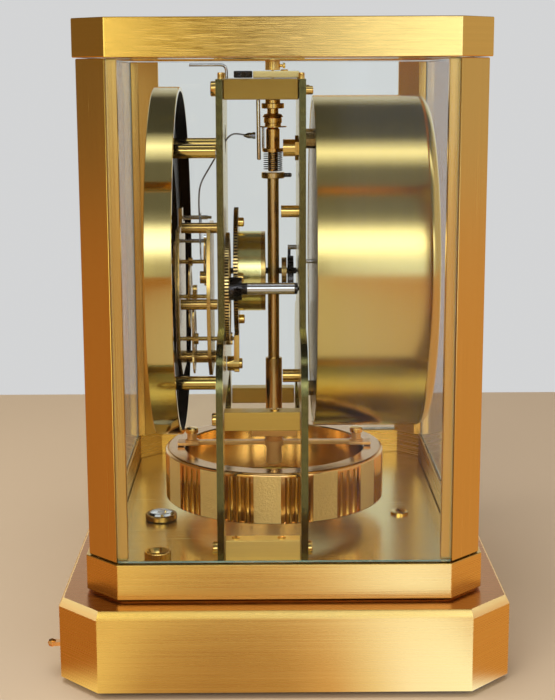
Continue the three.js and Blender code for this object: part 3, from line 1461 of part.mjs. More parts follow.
// Drum with the bellows that winds the clock
function buildDrum() {
  const edge = [];
  for (let i = 0; i <= drumEdgeSteps; i += 1) {
    const angle = i / drumEdgeSteps * Math.PI / 2;
    edge.push([
      drumRadius - drumEdgeRadius + drumEdgeRadius * Math.cos(angle),
      drumBackY - drumEdgeRadius + drumEdgeRadius * Math.sin(angle),
    ]);
  }
  const shell = turnedY([
    [drumRadius - drumWall, drumFrontY], [drumRadius, drumFrontY], ...edge, [0, drumBackY],
    [0, drumBackY - drumWall], [drumRadius - drumEdgeRadius, drumBackY - drumWall],
    [drumRadius - drumWall, drumBackY - drumEdgeRadius], [drumRadius - drumWall, drumFrontY],
  ], centre, grandSides);
  place('drum_shell', shell, polishedBrass);

  const coverFront = drumFrontY + fitGap;
  const coverBack = coverFront + drumCoverThickness;
  const coverDisc = barY(drumRadius - drumWall - fitGap, coverFront, coverBack, centre, grandSides);
  const bosses = drumBossDegrees.map((degrees) => {
    const angle = THREE.MathUtils.degToRad(degrees);
    const spot = { x: drumBossRingRadius * Math.cos(angle), z: dialZ + drumBossRingRadius * Math.sin(angle) };
    return barY(drumBossRadius, rearPlateBack + fitGap, coverBack, spot, smallSides);
  });
  const coverHole = barY(drumCoverBore, coverFront - cutOverrun, coverBack + cutOverrun, centre, smallSides);
  place('drum_front_cover', cut(join(coverDisc, ...bosses), coverHole), darkSteel);

  const bellowsBack = drumBackY - drumWall - fitGap;
  const bellowsLength = (bellowsBack - drumFrontY) * bellowsShare;
  const bellowsFront = bellowsBack - bellowsLength;
  const pleats = [[0, bellowsFront]];
  for (let i = 0; i <= bellowsPleats * 2; i += 1) {
    pleats.push([
      i % 2 === 0 ? bellowsInnerRadius : bellowsRadius,
      bellowsFront + bellowsLength * i / (bellowsPleats * 2),
    ]);
  }
  pleats.push([0, bellowsBack]);
  place('bellows', turnedY(pleats, centre, mediumSides), darkBrass);
  const endBack = bellowsFront - fitGap;
  const endPlate = turnedY([
    [0, rearPlateBack + fitGap], [drawRodRadius, rearPlateBack + fitGap],
    [drawRodRadius, endBack - endPlateThickness], [endPlateRadius, endBack - endPlateThickness],
    [endPlateRadius, endBack], [0, endBack],
  ], centre, largeSides);
  place('bellows_end_plate', endPlate, steel);
}

buildPlinth();
buildFeet();
buildLockLever();
buildFrames();
buildPosts();
buildPanes();
buildFloorItems();
buildPlates();
buildBlocks();
buildSuspension();
buildBalance();
buildRollerStack();
buildSpring();
buildDial();
buildHands();
buildModulePlates();
buildBarrel();
buildSecondWheel();
buildLowerWheel();
buildModuleTrain();
buildEscapement();
buildDrum();

export default clock;
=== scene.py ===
import bpy
import json
import math
from mathutils import Matrix, Vector

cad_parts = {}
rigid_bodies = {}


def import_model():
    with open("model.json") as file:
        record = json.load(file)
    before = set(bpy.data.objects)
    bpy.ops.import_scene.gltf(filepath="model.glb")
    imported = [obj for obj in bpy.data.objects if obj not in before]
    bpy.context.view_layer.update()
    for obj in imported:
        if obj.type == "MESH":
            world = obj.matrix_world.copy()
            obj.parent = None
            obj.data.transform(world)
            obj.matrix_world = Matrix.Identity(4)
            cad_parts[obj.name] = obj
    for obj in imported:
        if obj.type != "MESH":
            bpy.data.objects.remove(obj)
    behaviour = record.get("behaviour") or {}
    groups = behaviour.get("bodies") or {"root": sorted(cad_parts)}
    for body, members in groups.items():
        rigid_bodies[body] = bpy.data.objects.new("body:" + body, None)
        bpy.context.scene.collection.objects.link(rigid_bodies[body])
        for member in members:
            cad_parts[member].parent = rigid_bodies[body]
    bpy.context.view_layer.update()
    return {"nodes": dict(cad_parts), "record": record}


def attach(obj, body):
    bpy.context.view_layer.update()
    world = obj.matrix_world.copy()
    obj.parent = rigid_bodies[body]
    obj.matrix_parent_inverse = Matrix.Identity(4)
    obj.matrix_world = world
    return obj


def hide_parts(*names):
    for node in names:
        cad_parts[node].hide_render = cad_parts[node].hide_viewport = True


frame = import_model()
nodes = frame["nodes"]
scene = bpy.context.scene
print("frame loaded:", len(nodes), "nodes")

mm = 0.001
# case-frame places in mm: X to the right, Y from front to back, Z up
caseShift = 2.8   # the case's middle stands this far behind the row's origin
dialZ = 133.2     # the dial and the drum share one axis along Y
dialAxis = (0, dialZ)
dialFace = -43.3
balanceY = -2.9
balanceAxis = (0, balanceY)


def at(x, y, z):
    return Vector((x, y + caseShift, z)) * mm


# ---- camera: set first, at the photograph's side view
cameraView = {
    "place": (0.5509, -0.00254, 0.205),
    "yaw": 0.407,       # degrees
    "pitch": 10.964,
    "roll": -0.2,
    "lens": 73.86,      # mm on a 36 mm sensor, long side
}


def makeCamera(values):
    yaw, pitch, roll = (math.radians(values[k]) for k in ("yaw", "pitch", "roll"))
    forward = Vector((-math.cos(yaw) * math.cos(pitch), math.sin(yaw) * math.cos(pitch), -math.sin(pitch)))
    right = Vector((math.sin(yaw), math.cos(yaw), 0))
    up = right.cross(forward)
    rolledRight = right * math.cos(roll) + up * math.sin(roll)
    rolledUp = up * math.cos(roll) - right * math.sin(roll)
    turn = Matrix((rolledRight, rolledUp, -forward)).transposed()
    bpy.ops.object.camera_add(location=values["place"])
    camera = bpy.context.object
    camera.name = "sideCamera"
    camera.matrix_world = Matrix.Translation(values["place"]) @ turn.to_4x4()
    camera.data.lens = values["lens"]
    camera.data.sensor_width = 36
    camera.data.clip_start = 0.01
    scene.camera = camera


makeCamera(cameraView)
scene.view_settings.view_transform = "Standard"
print("camera set")

# ---- studio: pale table edge, pale backdrop, soft lamps
studio = {
    "floorColor": (0.51, 0.385, 0.26, 1),
    "floorRoughness": 0.9,
    "floorMirror": 0.1,
    "floorSize": 4,         # metres
    "floorFar": -0.36,      # the table ends here, in front of the backdrop
    "floorDrop": 0.0002,    # it lies this far below the feet
    # painted reflection: the table glows with these tones where the case's metal sees it, by place along Y in
    # metres
    "floorInMetal": [
        (-0.088, (0.46, 0.2, 0.06)), (-0.068, (1.05, 0.95, 0.65)), (-0.045, (0.56, 0.4, 0.24)),
        (-0.022, (0.46, 0.3, 0.17)), (0.003, (0.52, 0.35, 0.21)), (0.02, (0.76, 0.56, 0.42)),
        (0.033, (1.0, 1.0, 1.15)), (0.046, (1.25, 1.45, 2.3)), (0.07, (1.3, 1.65, 2.7)),
        (0.085, (0.66, 0.37, 0.16)),
    ],
    # and what the movement sees of it through the glass
    "floorInGlass": [
        (-0.12, (0.42, 0.18, 0.05)), (-0.03, (0.66, 0.55, 0.42)), (0.03, (0.66, 0.55, 0.42)),
        (0.12, (0.62, 0.34, 0.14)),
    ],
    "floorReach": 0.3,      # metres each way that the two lists cover
    "floorPeak": 3,         # brightest tone that the lists can hold
    "farTable": (0.24, 0.36),   # from here along X the table mirrors the room's wash, metres
    "backdrop": (0.655, 0.66, 0.665, 1),
    # what the metal sees, by angle round the clock's depth axis: 0 faces the camera, 90 is overhead
    "surround": [
        (-180, 0.7), (-90, 0.4), (-20, 0.45), (-2, 0.5), (5, 0.7), (12, 1.7), (18, 2.9), (25, 2.3),
        (33, 0.35), (40, 0.15), (73, 0.14), (80, 1.0), (86, 1.8), (90, 1.0), (98, 0.06), (140, 0.05),
        (152, 0.5), (165, 0.7), (180, 0.8),
    ],
    "roomPeak": 2,          # brightness that a full tone of the room stands for
    # near the camera's level the room has bright and dark parts from left to right, by the ray's Y
    "wash": [
        (-0.15, (1.8, 1.8, 1.2)), (-0.12, (1.6, 1.55, 0.9)), (-0.09, (0.6, 0.45, 0.15)),
        (-0.055, (0.05, 0.02, 0.0)), (0.025, (0.05, 0.02, 0.0)), (0.045, (0.8, 0.75, 0.6)),
        (0.06, (1.6, 1.8, 2.2)), (0.15, (1.6, 1.9, 2.5)),
    ],
    "washReach": 0.2,       # and its own reach and peak
    "washPeak": 3,
    # degrees above and below level: full up to the first, gone from the second
    "washOnCase": (30, 45),
    "washOnMovement": (8, 16),
    "washBehindGlass": 0.45,    # share that the movement sees
    # the room's two ends, by the ray's Y: they blend over the middle and take over further out
    "sideLeft": (0.2, 0.13, 0.06, 1),
    "sideRight": (0.56, 0.47, 0.36, 1),
    "sideBlend": 0.3,
    "sideFrom": (0.5, 0.85),
}


def applyPlace():
    bpy.ops.object.transform_apply(location=True, rotation=True, scale=True)


# a shader node; each socket is given a constant or another node's output, and its own outputs come back
def addNode(tree, kind, sockets=None, **settings):
    made = tree.nodes.new("ShaderNode" + kind)
    for key, value in settings.items():
        setattr(made, key, value)
    for socket, value in (sockets or {}).items():
        if isinstance(value, bpy.types.NodeSocket):
            tree.links.new(value, made.inputs[socket])
        else:
            made.inputs[socket].default_value = value
    return made.outputs


def calc(tree, operation, *values):
    return addNode(tree, "Math", dict(enumerate(values)), operation=operation)[0]


def mixed(tree, share, first, second, **settings):
    return addNode(tree, "MixRGB", {"Fac": share, "Color1": first, "Color2": second}, **settings)[0]


def ranged(tree, value, start, end, low=0, high=1, **settings):
    return addNode(tree, "MapRange", {
        "Value": value, "From Min": start, "From Max": end, "To Min": low, "To Max": high,
    }, **settings)["Result"]


# 1 for a ray that has met glass, or metal, on its way
def hasMet(tree, depth):
    return calc(tree, "GREATER_THAN", depth, 0.5)


# a row of tones along one direction, each held as a share of the peak
def makeToneList(tree, tones, reach, peak, along):
    ramp = tree.nodes.new("ShaderNodeValToRGB")
    stops = ramp.color_ramp.elements
    for i, (place, tone) in enumerate(tones):
        share = (place + reach) / (2 * reach)
        stop = stops[i] if i < 2 else stops.new(share)
        stop.position = share
        stop.color = (*[c / peak for c in tone], 1)
    tree.links.new(ranged(tree, along, -reach, reach), ramp.inputs["Fac"])
    return ramp.outputs["Color"]


def makeWorld(values):
    world = bpy.data.worlds.new("studioWorld")
    scene.world = world
    world.use_nodes = True
    tree = world.node_tree
    tree.nodes.clear()
    peak = values["roomPeak"]
    path = addNode(tree, "LightPath")
    coord = addNode(tree, "TexCoord")
    split = addNode(tree, "SeparateXYZ", {0: coord["Generated"]})
    angle = calc(tree, "ARCTAN2", split["Z"], split["X"])
    surround = [(math.radians(degrees), [level] * 3) for degrees, level in values["surround"]]
    room = makeToneList(tree, surround, math.pi, peak, angle)
    # the wash, by its share on the case and on the movement
    height = calc(tree, "ABSOLUTE", angle)
    shares = []
    for (full, gone), share in (
        (values["washOnCase"], 1), (values["washOnMovement"], values["washBehindGlass"]),
    ):
        shares.append(ranged(tree, height, math.radians(full), math.radians(gone), share, 0))
    glazed = hasMet(tree, path["Transmission Depth"])
    washed = mixed(tree, glazed, *shares)
    wash = makeToneList(tree, values["wash"], values["washReach"], values["washPeak"], split["Y"])
    gain = (*[values["washPeak"] / peak] * 3, 1)
    room = mixed(tree, washed, room, mixed(tree, 1, wash, gain, blend_type="MULTIPLY"))
    # its two ends
    blend = ranged(tree, split["Y"], -values["sideBlend"], values["sideBlend"])
    left, right = ([c / peak for c in values[side]] for side in ("sideLeft", "sideRight"))
    sides = mixed(tree, blend, left, right)
    outward = calc(tree, "ABSOLUTE", split["Y"])
    ends = ranged(tree, outward, *values["sideFrom"], interpolation_type="SMOOTHSTEP")
    around = mixed(tree, ends, room, sides)
    # the camera sees the plain backdrop, straight and through glass
    lit = addNode(tree, "Background", {"Color": around, "Strength": peak})[0]
    shown = addNode(tree, "Background", {"Color": values["backdrop"]})[0]
    bounces = calc(tree, "ADD", path["Glossy Depth"], path["Diffuse Depth"])
    straight = calc(tree, "LESS_THAN", bounces, 0.5)
    mix = addNode(tree, "MixShader", {"Fac": straight, 1: lit, 2: shown})[0]
    addNode(tree, "OutputWorld", {"Surface": mix})


def newMaterial(name):
    material = bpy.data.materials.new(name)
    material.use_nodes = True
    tree = material.node_tree
    return material, tree, tree.nodes["Principled BSDF"]


# a finished shader mixed over the Principled one, by a share
def mixOver(tree, share, shader):
    plain = tree.nodes["Principled BSDF"].outputs[0]
    mix = addNode(tree, "MixShader", {"Fac": share, 1: plain, 2: shader})[0]
    tree.links.new(mix, tree.nodes["Material Output"].inputs["Surface"])


def makeFloor(values):
    size = values["floorSize"]
    middle = (values["floorFar"] + size / 2, 0, -values["floorDrop"])
    bpy.ops.mesh.primitive_plane_add(size=size, location=middle)
    floor = bpy.context.object
    floor.name = "studioFloor"
    applyPlace()
    material, tree, shader = newMaterial("paleFloor")
    shader.inputs["Base Color"].default_value = values["floorColor"]
    shader.inputs["Roughness"].default_value = values["floorRoughness"]
    shader.inputs["Specular IOR Level"].default_value = values["floorMirror"]
    path = addNode(tree, "LightPath")
    coord = addNode(tree, "TexCoord")
    split = addNode(tree, "SeparateXYZ", {0: coord["Object"]})
    reach, peak = values["floorReach"], values["floorPeak"]
    direct = makeToneList(tree, values["floorInMetal"], reach, peak, split["Y"])
    glazed = makeToneList(tree, values["floorInGlass"], reach, peak, split["Y"])
    # the far table mirrors the wash, by where the ray is heading
    view = addNode(tree, "NewGeometry")
    facing = addNode(tree, "SeparateXYZ", {0: view["Incoming"]})
    heading = calc(tree, "MULTIPLY", facing["Y"], -1)
    wash = makeToneList(tree, values["wash"], values["washReach"], peak, heading)
    table = mixed(tree, ranged(tree, split["X"], *values["farTable"]), direct, wash)
    seen = mixed(tree, hasMet(tree, path["Transmission Depth"]), table, glazed)
    # painted reflections: rays from metal and glass see the table glow with these listed tones, not its lit
    # colour
    glow = addNode(tree, "Emission", {"Color": seen, "Strength": peak})[0]
    mixOver(tree, hasMet(tree, path["Glossy Depth"]), glow)
    floor.data.materials.append(material)


# the metal mirrors the room and not the lamps; places in metres
lamps = {
    "overhead": {"place": (0.15, -0.1, 0.9), "aim": (0, 0, 0.1), "size": 0.7, "watts": 7},
    "camera side": {"place": (0.9, -0.5, 0.55), "aim": (0, 0, 0.1), "size": 0.6, "watts": 5},
}


def makeLamps(values):
    for name, lamp in values.items():
        bpy.ops.object.light_add(type="AREA", location=lamp["place"])
        light = bpy.context.object
        light.name = "lamp " + name
        light.data.size = lamp["size"]
        light.data.energy = lamp["watts"]
        light.visible_glossy = False
        light.visible_transmission = False
        aim = Vector(lamp["aim"]) - Vector(lamp["place"])
        light.rotation_euler = aim.to_track_quat("-Z", "Y").to_euler()


makeWorld(studio)
makeFloor(studio)
makeLamps(lamps)
print("studio set")

# ---- finishes: colour, roughness, grain in cells per metre along X, Y and Z, its contrast, its bump
# a turned finish has its axis and centre; shadeWithin is the radius below which the gaps between teeth are
# painted dark, as painted shade
finishes = {
    "caseBrass": ((0.86, 0.56, 0.16), 0.27, (14, 14, 1800), 0.1, 0.12),
    "capBrass": ((0.86, 0.56, 0.16), 0.13, (9, 9, 2400), 0.07, 0.16),
    "postBrass": ((0.8, 0.54, 0.17), 0.24, (1800, 1800, 14), 0.08, 0.1),
    "floorBrass": ((0.95, 0.78, 0.35), 0.24, (1600, 12, 1600), 0.1, 0.1),
    "plateBrass": ((0.72, 0.58, 0.24), 0.24, (60, 60, 1500), 0.1, 0.08),
    # dark olive for the plates' sideways-facing edges: painted shade
    "plateEdge": ((0.17, 0.16, 0.06), 0.2, (100, 100, 420), 0.55, 0.12),
    "topBarBrass": ((0.45, 0.3, 0.07), 0.34, (1500, 20, 1500), 0.12, 0.15),
    "barBrass": ((0.62, 0.42, 0.1), 0.34, (1500, 20, 1500), 0.12, 0.15),
    "polishedBrass": ((0.78, 0.56, 0.18), 0.1, (200, 200, 200), 0.04, 0.01),
    "tonedBrass": ((0.42, 0.29, 0.11), 0.24, (900, 900, 60), 0.1, 0.04),
    "wheelBrass": ((0.6, 0.42, 0.15), 0.22, (500, 500, 500), 0.12, 0.04),
    "copperGilt": ((0.95, 0.5, 0.19), 0.22, (900, 40, 900), 0.08, 0.06),
    "guardSteel": ((0.8, 0.74, 0.6), 0.14, (1200, 1200, 60), 0.08, 0.03),
    "steel": ((0.62, 0.63, 0.66), 0.16, (1200, 60, 1200), 0.08, 0.03),
    "darkSteel": ((0.07, 0.07, 0.08), 0.28, (800, 800, 800), 0.2, 0.05),
    "blackLining": ((0.01, 0.01, 0.012), 0.5, (900, 900, 900), 0.2, 0.05),
    "ringBrass": ((0.8, 0.65, 0.27), 0.09, (40, 900, 1), 0.04, 0.015,
        {"axis": "Y", "centre": (0, 0, 0.1332)}),
    "drumBrass": ((0.76, 0.6, 0.23), 0.16, (900, 900, 1), 0.05, 0.03,
        {"axis": "Y", "centre": (0, 0, 0.1332)}),
    "blastedBrass": ((0.95, 0.6, 0.2), 0.46, (1100, 1100, 1100), 0.18, 0.7,
        {"metallic": 0.35, "depth": 0.0006}),
    "fluteBrass": ((0.86, 0.6, 0.24), 0.12, (300, 300, 60), 0.04, 0.01),
    "moduleBrass": ((0.6, 0.4, 0.13), 0.2, (200, 200, 900), 0.08, 0.04),
    "sleeveBrass": ((0.72, 0.57, 0.3), 0.22, (900, 900, 60), 0.1, 0.04),
    "rollerBrass": ((0.8, 0.52, 0.18), 0.15, (300, 300, 900), 0.08, 0.03),
    "cupBrass": ((0.9, 0.84, 0.36), 0.2, (500, 700, 500), 0.12, 0.08),
    "brightSteel": ((0.7, 0.71, 0.74), 0.14, (300, 900, 300), 0.06, 0.02),
    "ringGilt": ((0.86, 0.54, 0.22), 0.15, (900, 900, 1), 0.06, 0.02,
        {"axis": "Z", "centre": (0, -0.0001, 0)}),
    "armGilt": ((1.0, 0.56, 0.18), 0.3, (900, 40, 900), 0.08, 0.06, {"metallic": 0.45}),
    "slabGilt": ((0.95, 0.48, 0.12), 0.35, (900, 40, 900), 0.1, 0.08, {"metallic": 0.35}),
    # the ring's top face: darker rose-brown than its wall, painted shade
    "ringTop": ((0.62, 0.38, 0.16), 0.16, (1200, 1200, 1), 0.1, 0.08,
        {"axis": "Z", "centre": (0, -0.0001, 0)}),
    "bridgeBrass": ((0.95, 0.78, 0.36), 0.36, (40, 1500, 1500), 0.1, 0.15, {"metallic": 0.8}),
    "footBrass": ((0.92, 0.66, 0.2), 0.38, (1500, 20, 1500), 0.12, 0.15, {"metallic": 0.65}),
    "headBrass": ((0.9, 0.62, 0.2), 0.15, (300, 300, 900), 0.06, 0.03),
    "greatTeeth": ((0.85, 0.62, 0.26), 0.22, (500, 500, 1), 0.12, 0.04,
        {"axis": "Y", "centre": (-0.0044, 0, 0.129), "shadeWithin": 0.02437}),
    "secondTeeth": ((0.85, 0.62, 0.26), 0.22, (500, 500, 1), 0.12, 0.04,
        {"axis": "Y", "centre": (0.024, 0, 0.1262), "shadeWithin": 0.02053}),
    # the plinth's ledge: coppery, painted reflection
    "ledgeBrass": ((0.64, 0.3, 0.1), 0.27, (1400, 14, 1400), 0.08, 0.02),
    # the plinth's upward corner and side bevels: bright, painted highlight
    "bevelBrass": ((1.0, 0.7, 0.3), 0.3, (14, 14, 1800), 0.08, 0.08, {"metallic": 0.4}),
    "bluedSteel": ((0.3, 0.33, 0.42), 0.2, (900, 900, 900), 0.1, 0.03),
    "bubbleGlass": ((0.5, 0.54, 0.6), 0.08, (200, 200, 200), 0.1, 0.01, {"metallic": 0.2}),
    "dialInk": ((0.03, 0.028, 0.025), 0.35, (900, 900, 900), 0.2, 0.03, {"metallic": 0}),
    "paneEdge": ((0.15, 0.22, 0.17), 0.25, (200, 200, 200), 0.06, 0.01, {"metallic": 0}),
    "dialIvory": ((0.84, 0.81, 0.72), 0.5, (700, 700, 700), 0.04, 0.03, {"metallic": 0}),
}
grainLook = {
    "detail": 4, "roughness": 0.6,
    "smoothest": 0.75, "roughest": 1.3,     # shares of a finish's roughness that its grain runs between
    "depth": 0.0003,        # of the bump, metres
    "gapShadeColor": (0.03, 0.02, 0.01, 1),
}
paneGlass = {"color": (0.97, 0.99, 0.98, 1), "roughness": 0.02, "bend": 1.2, "mirror": 0.1}


def makeFinish(name, color, roughness, cells, contrast, bump, more):
    material, tree, shader = newMaterial(name)
    shader.inputs["Metallic"].default_value = more.get("metallic", 1)
    place = addNode(tree, "TexCoord")["Object"]
    if "axis" in more:   # rings of turning marks: the pattern runs on radius and station
        centred = addNode(tree, "Mapping", {"Vector": place, "Location": [-c for c in more["centre"]]})[0]
        plane = (1, 0, 1) if more["axis"] == "Y" else (1, 1, 0)
        flat = addNode(tree, "VectorMath", {0: centred, 1: plane}, operation="MULTIPLY")[0]
        radius = addNode(tree, "VectorMath", {0: flat}, operation="LENGTH")["Value"]
        station = addNode(tree, "SeparateXYZ", {0: centred})[more["axis"]]
        place = addNode(tree, "CombineXYZ", {"X": radius, "Y": station})[0]
    stretched = addNode(tree, "Mapping", {"Vector": place, "Scale": cells})[0]
    grain = addNode(tree, "TexNoise", {
        "Vector": stretched, "Scale": 1, "Detail": grainLook["detail"], "Roughness": grainLook["roughness"],
    })["Fac"]
    low = [c * (1 - contrast) for c in color]
    high = [min(1, c * (1 + contrast)) for c in color]
    shade = mixed(tree, grain, (*low, 1), (*high, 1))
    # painted shade: the gaps between teeth are dark below a radius
    if "shadeWithin" in more:
        shade = mixed(tree, calc(tree, "LESS_THAN", radius, more["shadeWithin"]), shade, grainLook["gapShadeColor"])
    low, high = (roughness * grainLook[share] for share in ("smoothest", "roughest"))
    rough = ranged(tree, grain, 0, 1, low, high)
    relief = addNode(tree, "Bump", {
        "Height": grain, "Strength": bump, "Distance": more.get("depth", grainLook["depth"]),
    })["Normal"]
    for socket, value in (("Base Color", shade), ("Roughness", rough), ("Normal", relief)):
        tree.links.new(value, shader.inputs[socket])
    return material


def makeGlass(values):
    material, tree, shader = newMaterial("glass")
    shader.inputs["Base Color"].default_value = values["color"]
    shader.inputs["Roughness"].default_value = values["roughness"]
    shader.inputs["IOR"].default_value = values["bend"]
    shader.inputs["Transmission Weight"].default_value = 1
    shader.inputs["Specular IOR Level"].default_value = values["mirror"]
    clear = addNode(tree, "BsdfTransparent")[0]
    mixOver(tree, addNode(tree, "LightPath")["Is Shadow Ray"], clear)
    return material


materials = {}
for name, (color, roughness, cells, contrast, bump, *more) in finishes.items():
    materials[name] = makeFinish(name, color, roughness, cells, contrast, bump, more[0] if more else {})
materials["glass"] = makeGlass(paneGlass)
print("finishes made:", len(materials))

record = frame["record"]
bodyOf = {node: body for body, members in record["behaviour"]["bodies"].items() for node in members}
slotOf = {s["node"]: s["material_slot"] for s in record["subparts"]}

# ---- CAD nodes: those left showing get a finish by slot
nodeFinish = {
    "case_brass": "caseBrass", "plate_brass": "plateBrass", "polished_brass": "wheelBrass",
    "dark_brass": "tonedBrass", "copper": "copperGilt", "steel": "steel", "dark_steel": "darkSteel",
    "glass": "glass", "dial_white": "dialIvory",
}
ownFinish = {"drum_front_cover": "tonedBrass", "lock_lever": "copperGilt"}
for name, node in nodes.items():
    node.data.materials.clear()
    node.data.materials.append(materials[ownFinish.get(name, nodeFinish[slotOf[name]])])


# ---- modelling helpers
def alone(piece):
    bpy.ops.object.select_all(action="DESELECT")
    piece.select_set(True)
    bpy.context.view_layer.objects.active = piece


def duplicated(piece):
    alone(piece)
    bpy.ops.object.duplicate(linked=False)
    return bpy.context.object


def modify(piece, kind, **settings):
    alone(piece)
    modifier = piece.modifiers.new("shaping", kind)
    for key, value in settings.items():
        setattr(modifier, key, value)
    bpy.ops.object.modifier_apply(modifier="shaping")


# into edit mode with the whole mesh selected
def openMesh(piece):
    alone(piece)
    bpy.ops.object.mode_set(mode="EDIT")
    bpy.ops.mesh.select_all(action="SELECT")


# back out of it, with every face pointing outwards
def closeMesh():
    bpy.ops.mesh.select_all(action="SELECT")
    bpy.ops.mesh.normals_make_consistent(inside=False)
    bpy.ops.object.mode_set(mode="OBJECT")


def extrude(rise):
    bpy.ops.mesh.extrude_region_move(TRANSFORM_OT_translate={"value": (0, 0, rise)})


# into edit mode with only the faces or vertices that the rule picks
def openPicked(piece, kind, rule):
    openMesh(piece)
    bpy.ops.mesh.select_mode(type=kind)
    bpy.ops.mesh.select_all(action="DESELECT")
    bpy.ops.object.mode_set(mode="OBJECT")
    for part in piece.data.polygons if kind == "FACE" else piece.data.vertices:
        part.select = rule(part)
    bpy.ops.object.mode_set(mode="EDIT")


# more finishes on a piece; the rule gives each face the number of its finish
def paint(piece, added, rule):
    for finish in added:
        piece.data.materials.append(materials[finish])
    for face in piece.data.polygons:
        face.material_index = rule(face)


flatsAbove = 10   # degrees of smoothing


def settle(piece, name, body, finish, smooth=32):
    piece.name = name
    alone(piece)
    applyPlace()
    bpy.ops.object.shade_smooth_by_angle(angle=math.radians(smooth))
    if smooth > flatsAbove:   # flats keep their own normals beside the rounded edges
        modify(piece, "WEIGHTED_NORMAL", keep_sharp=True)
    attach(piece, body)
    piece.data.materials.clear()
    piece.data.materials.append(materials[finish])
    return piece


def bevelled(piece, width, angle=30):
    limit = math.radians(angle)
    modify(piece, "BEVEL", width=width * mm, segments=2, limit_method="ANGLE", angle_limit=limit)


# profile: (radius, station) pairs in mm; place: the axis in case-frame mm
def turned(profile, place, axis, sides, closed=False):
    bpy.ops.object.select_all(action="DESELECT")
    radius, station = profile[0]
    fill = "NOTHING" if closed else "NGON"
    bpy.ops.mesh.primitive_circle_add(vertices=sides, radius=radius * mm, fill_type=fill, location=(0, 0, 0))
    piece = bpy.context.object
    openMesh(piece)
    bpy.ops.transform.translate(value=(0, 0, station * mm))
    for nextRadius, nextStation in profile[1:]:
        extrude((nextStation - station) * mm)
        scale = nextRadius / radius
        bpy.ops.transform.resize(value=(scale, scale, 1), center_override=(0, 0, 0))
        radius, station = nextRadius, nextStation
    bpy.ops.mesh.select_all(action="SELECT")
    bpy.ops.mesh.remove_doubles(threshold=0.000001)
    closeMesh()
    if axis == "Y":
        piece.rotation_euler = (-math.pi / 2, 0, 0)
        piece.location = at(place[0], 0, place[1])
    else:
        piece.location = at(place[0], place[1], 0)
    alone(piece)
    applyPlace()
    return piece


# a CAD node's shape with its edges rounded, in its place
def refined(node, finish, width, smooth=32):
    piece = duplicated(nodes[node])
    bpy.ops.object.parent_clear(type="CLEAR_KEEP_TRANSFORM")
    openMesh(piece)
    bpy.ops.mesh.remove_doubles(threshold=0.000002)
    bpy.ops.mesh.dissolve_limited(angle_limit=math.radians(1))
    bpy.ops.object.mode_set(mode="OBJECT")
    if width > 0:
        bevelled(piece, width)
    settle(piece, node + ".refined", bodyOf[node], finish, smooth)
    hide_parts(node)
    return piece


# a box drawn out from a plane, with its edges rounded
def bar(low, high, edge):
    wide, deep, tall = (b - a for a, b in zip(low, high))
    bpy.ops.object.select_all(action="DESELECT")
    bpy.ops.mesh.primitive_plane_add(size=1, location=(0, 0, 0))
    piece = bpy.context.object
    piece.scale = (wide * mm, deep * mm, 1)
    piece.location = at((low[0] + high[0]) / 2, (low[1] + high[1]) / 2, low[2])
    applyPlace()
    openMesh(piece)
    extrude(tall * mm)
    closeMesh()
    if edge > 0:
        bevelled(piece, edge)
    return piece


# ---- case, plates and blocks: the CAD shapes with their edges rounded, mm
paneAcross = {"front": 1, "rear": 1, "left": 0, "right": 0, "top": 2}   # the axis that each pane faces
postPlaces = ("front_left", "front_right", "rear_left", "rear_right")
edgeRounds = {
    "plinth": ("caseBrass", 0.3), "lower_frame": ("caseBrass", 0.35), "top_frame": ("capBrass", 0.4),
    **{"corner_post_" + place: ("postBrass", 0.35) for place in postPlaces},
    "floor_plate": ("floorBrass", 0.2), "front_plate": ("plateBrass", 0.25),
    "rear_plate": ("plateBrass", 0.25), "top_block": ("topBarBrass", 0.25),
    "right_stretcher": ("barBrass", 0.25), "left_stretcher": ("barBrass", 0.25),
    "right_foot_block": ("footBrass", 0.25), "left_foot_block": ("footBrass", 0.25),
    "suspension_bridge": ("bridgeBrass", 0.3),
    "suspension_head": ("headBrass", 0.2), "module_rear_plate": ("moduleBrass", 0.15),
    "module_front_plate": ("moduleBrass", 0.15),
    **{side + "_glass": ("glass", 0.25) for side in paneAcross},
    "lower_cock": ("polishedBrass", 0.15),
}
# a face is told by its normal's share along an axis; the rear plate's studs end at studsBefore, mm
plateLooks = {"faceTilt": 0.3, "topTilt": 0.95, "studsBefore": 9.1}
plinthLooks = {"ledgeTilt": 0.97, "bevelTilt": 0.3, "sideTilt": 0.2}
paneEdgeTilt = 0.9


def makeCase(rounds, plate, plinth, panes):
    for node, (finish, width) in rounds.items():
        refined(node, finish, width, smooth=5 if finish == "glass" else 32)

    # the plates' sideways-facing edges are painted dark, as painted shade; their tops and bottoms keep the
    # plate's brass
    def plateFinish(face):
        return int(abs(face.normal.y) < plate["faceTilt"] and abs(face.normal.z) < plate["topTilt"])

    def rearFinish(face):
        return 2 if face.center.y < plate["studsBefore"] * mm else plateFinish(face)

    # the ledge's coppery tone is painted reflection of the brass above it; the bevels at the corners and
    # sides are bright with painted highlights
    def plinthFinish(face):
        if face.normal.z > plinth["ledgeTilt"]:
            return 1
        return 2 if face.normal.z > plinth["bevelTilt"] and abs(face.normal.y) > plinth["sideTilt"] else 0

    pieces = bpy.data.objects
    paint(pieces["front_plate.refined"], ("plateEdge", "headBrass"), plateFinish)
    paint(pieces["rear_plate.refined"], ("plateEdge", "headBrass"), rearFinish)
    paint(pieces["plinth.refined"], ("ledgeBrass", "bevelBrass"), plinthFinish)
    for side, axis in panes.items():
        pane = pieces[side + "_glass.refined"]
        paint(pane, ("paneEdge",), lambda face: int(abs(face.normal[axis]) < paneEdgeTilt))


makeCase(edgeRounds, plateLooks, plinthLooks, paneAcross)
print("case and plates refined:", len(edgeRounds))

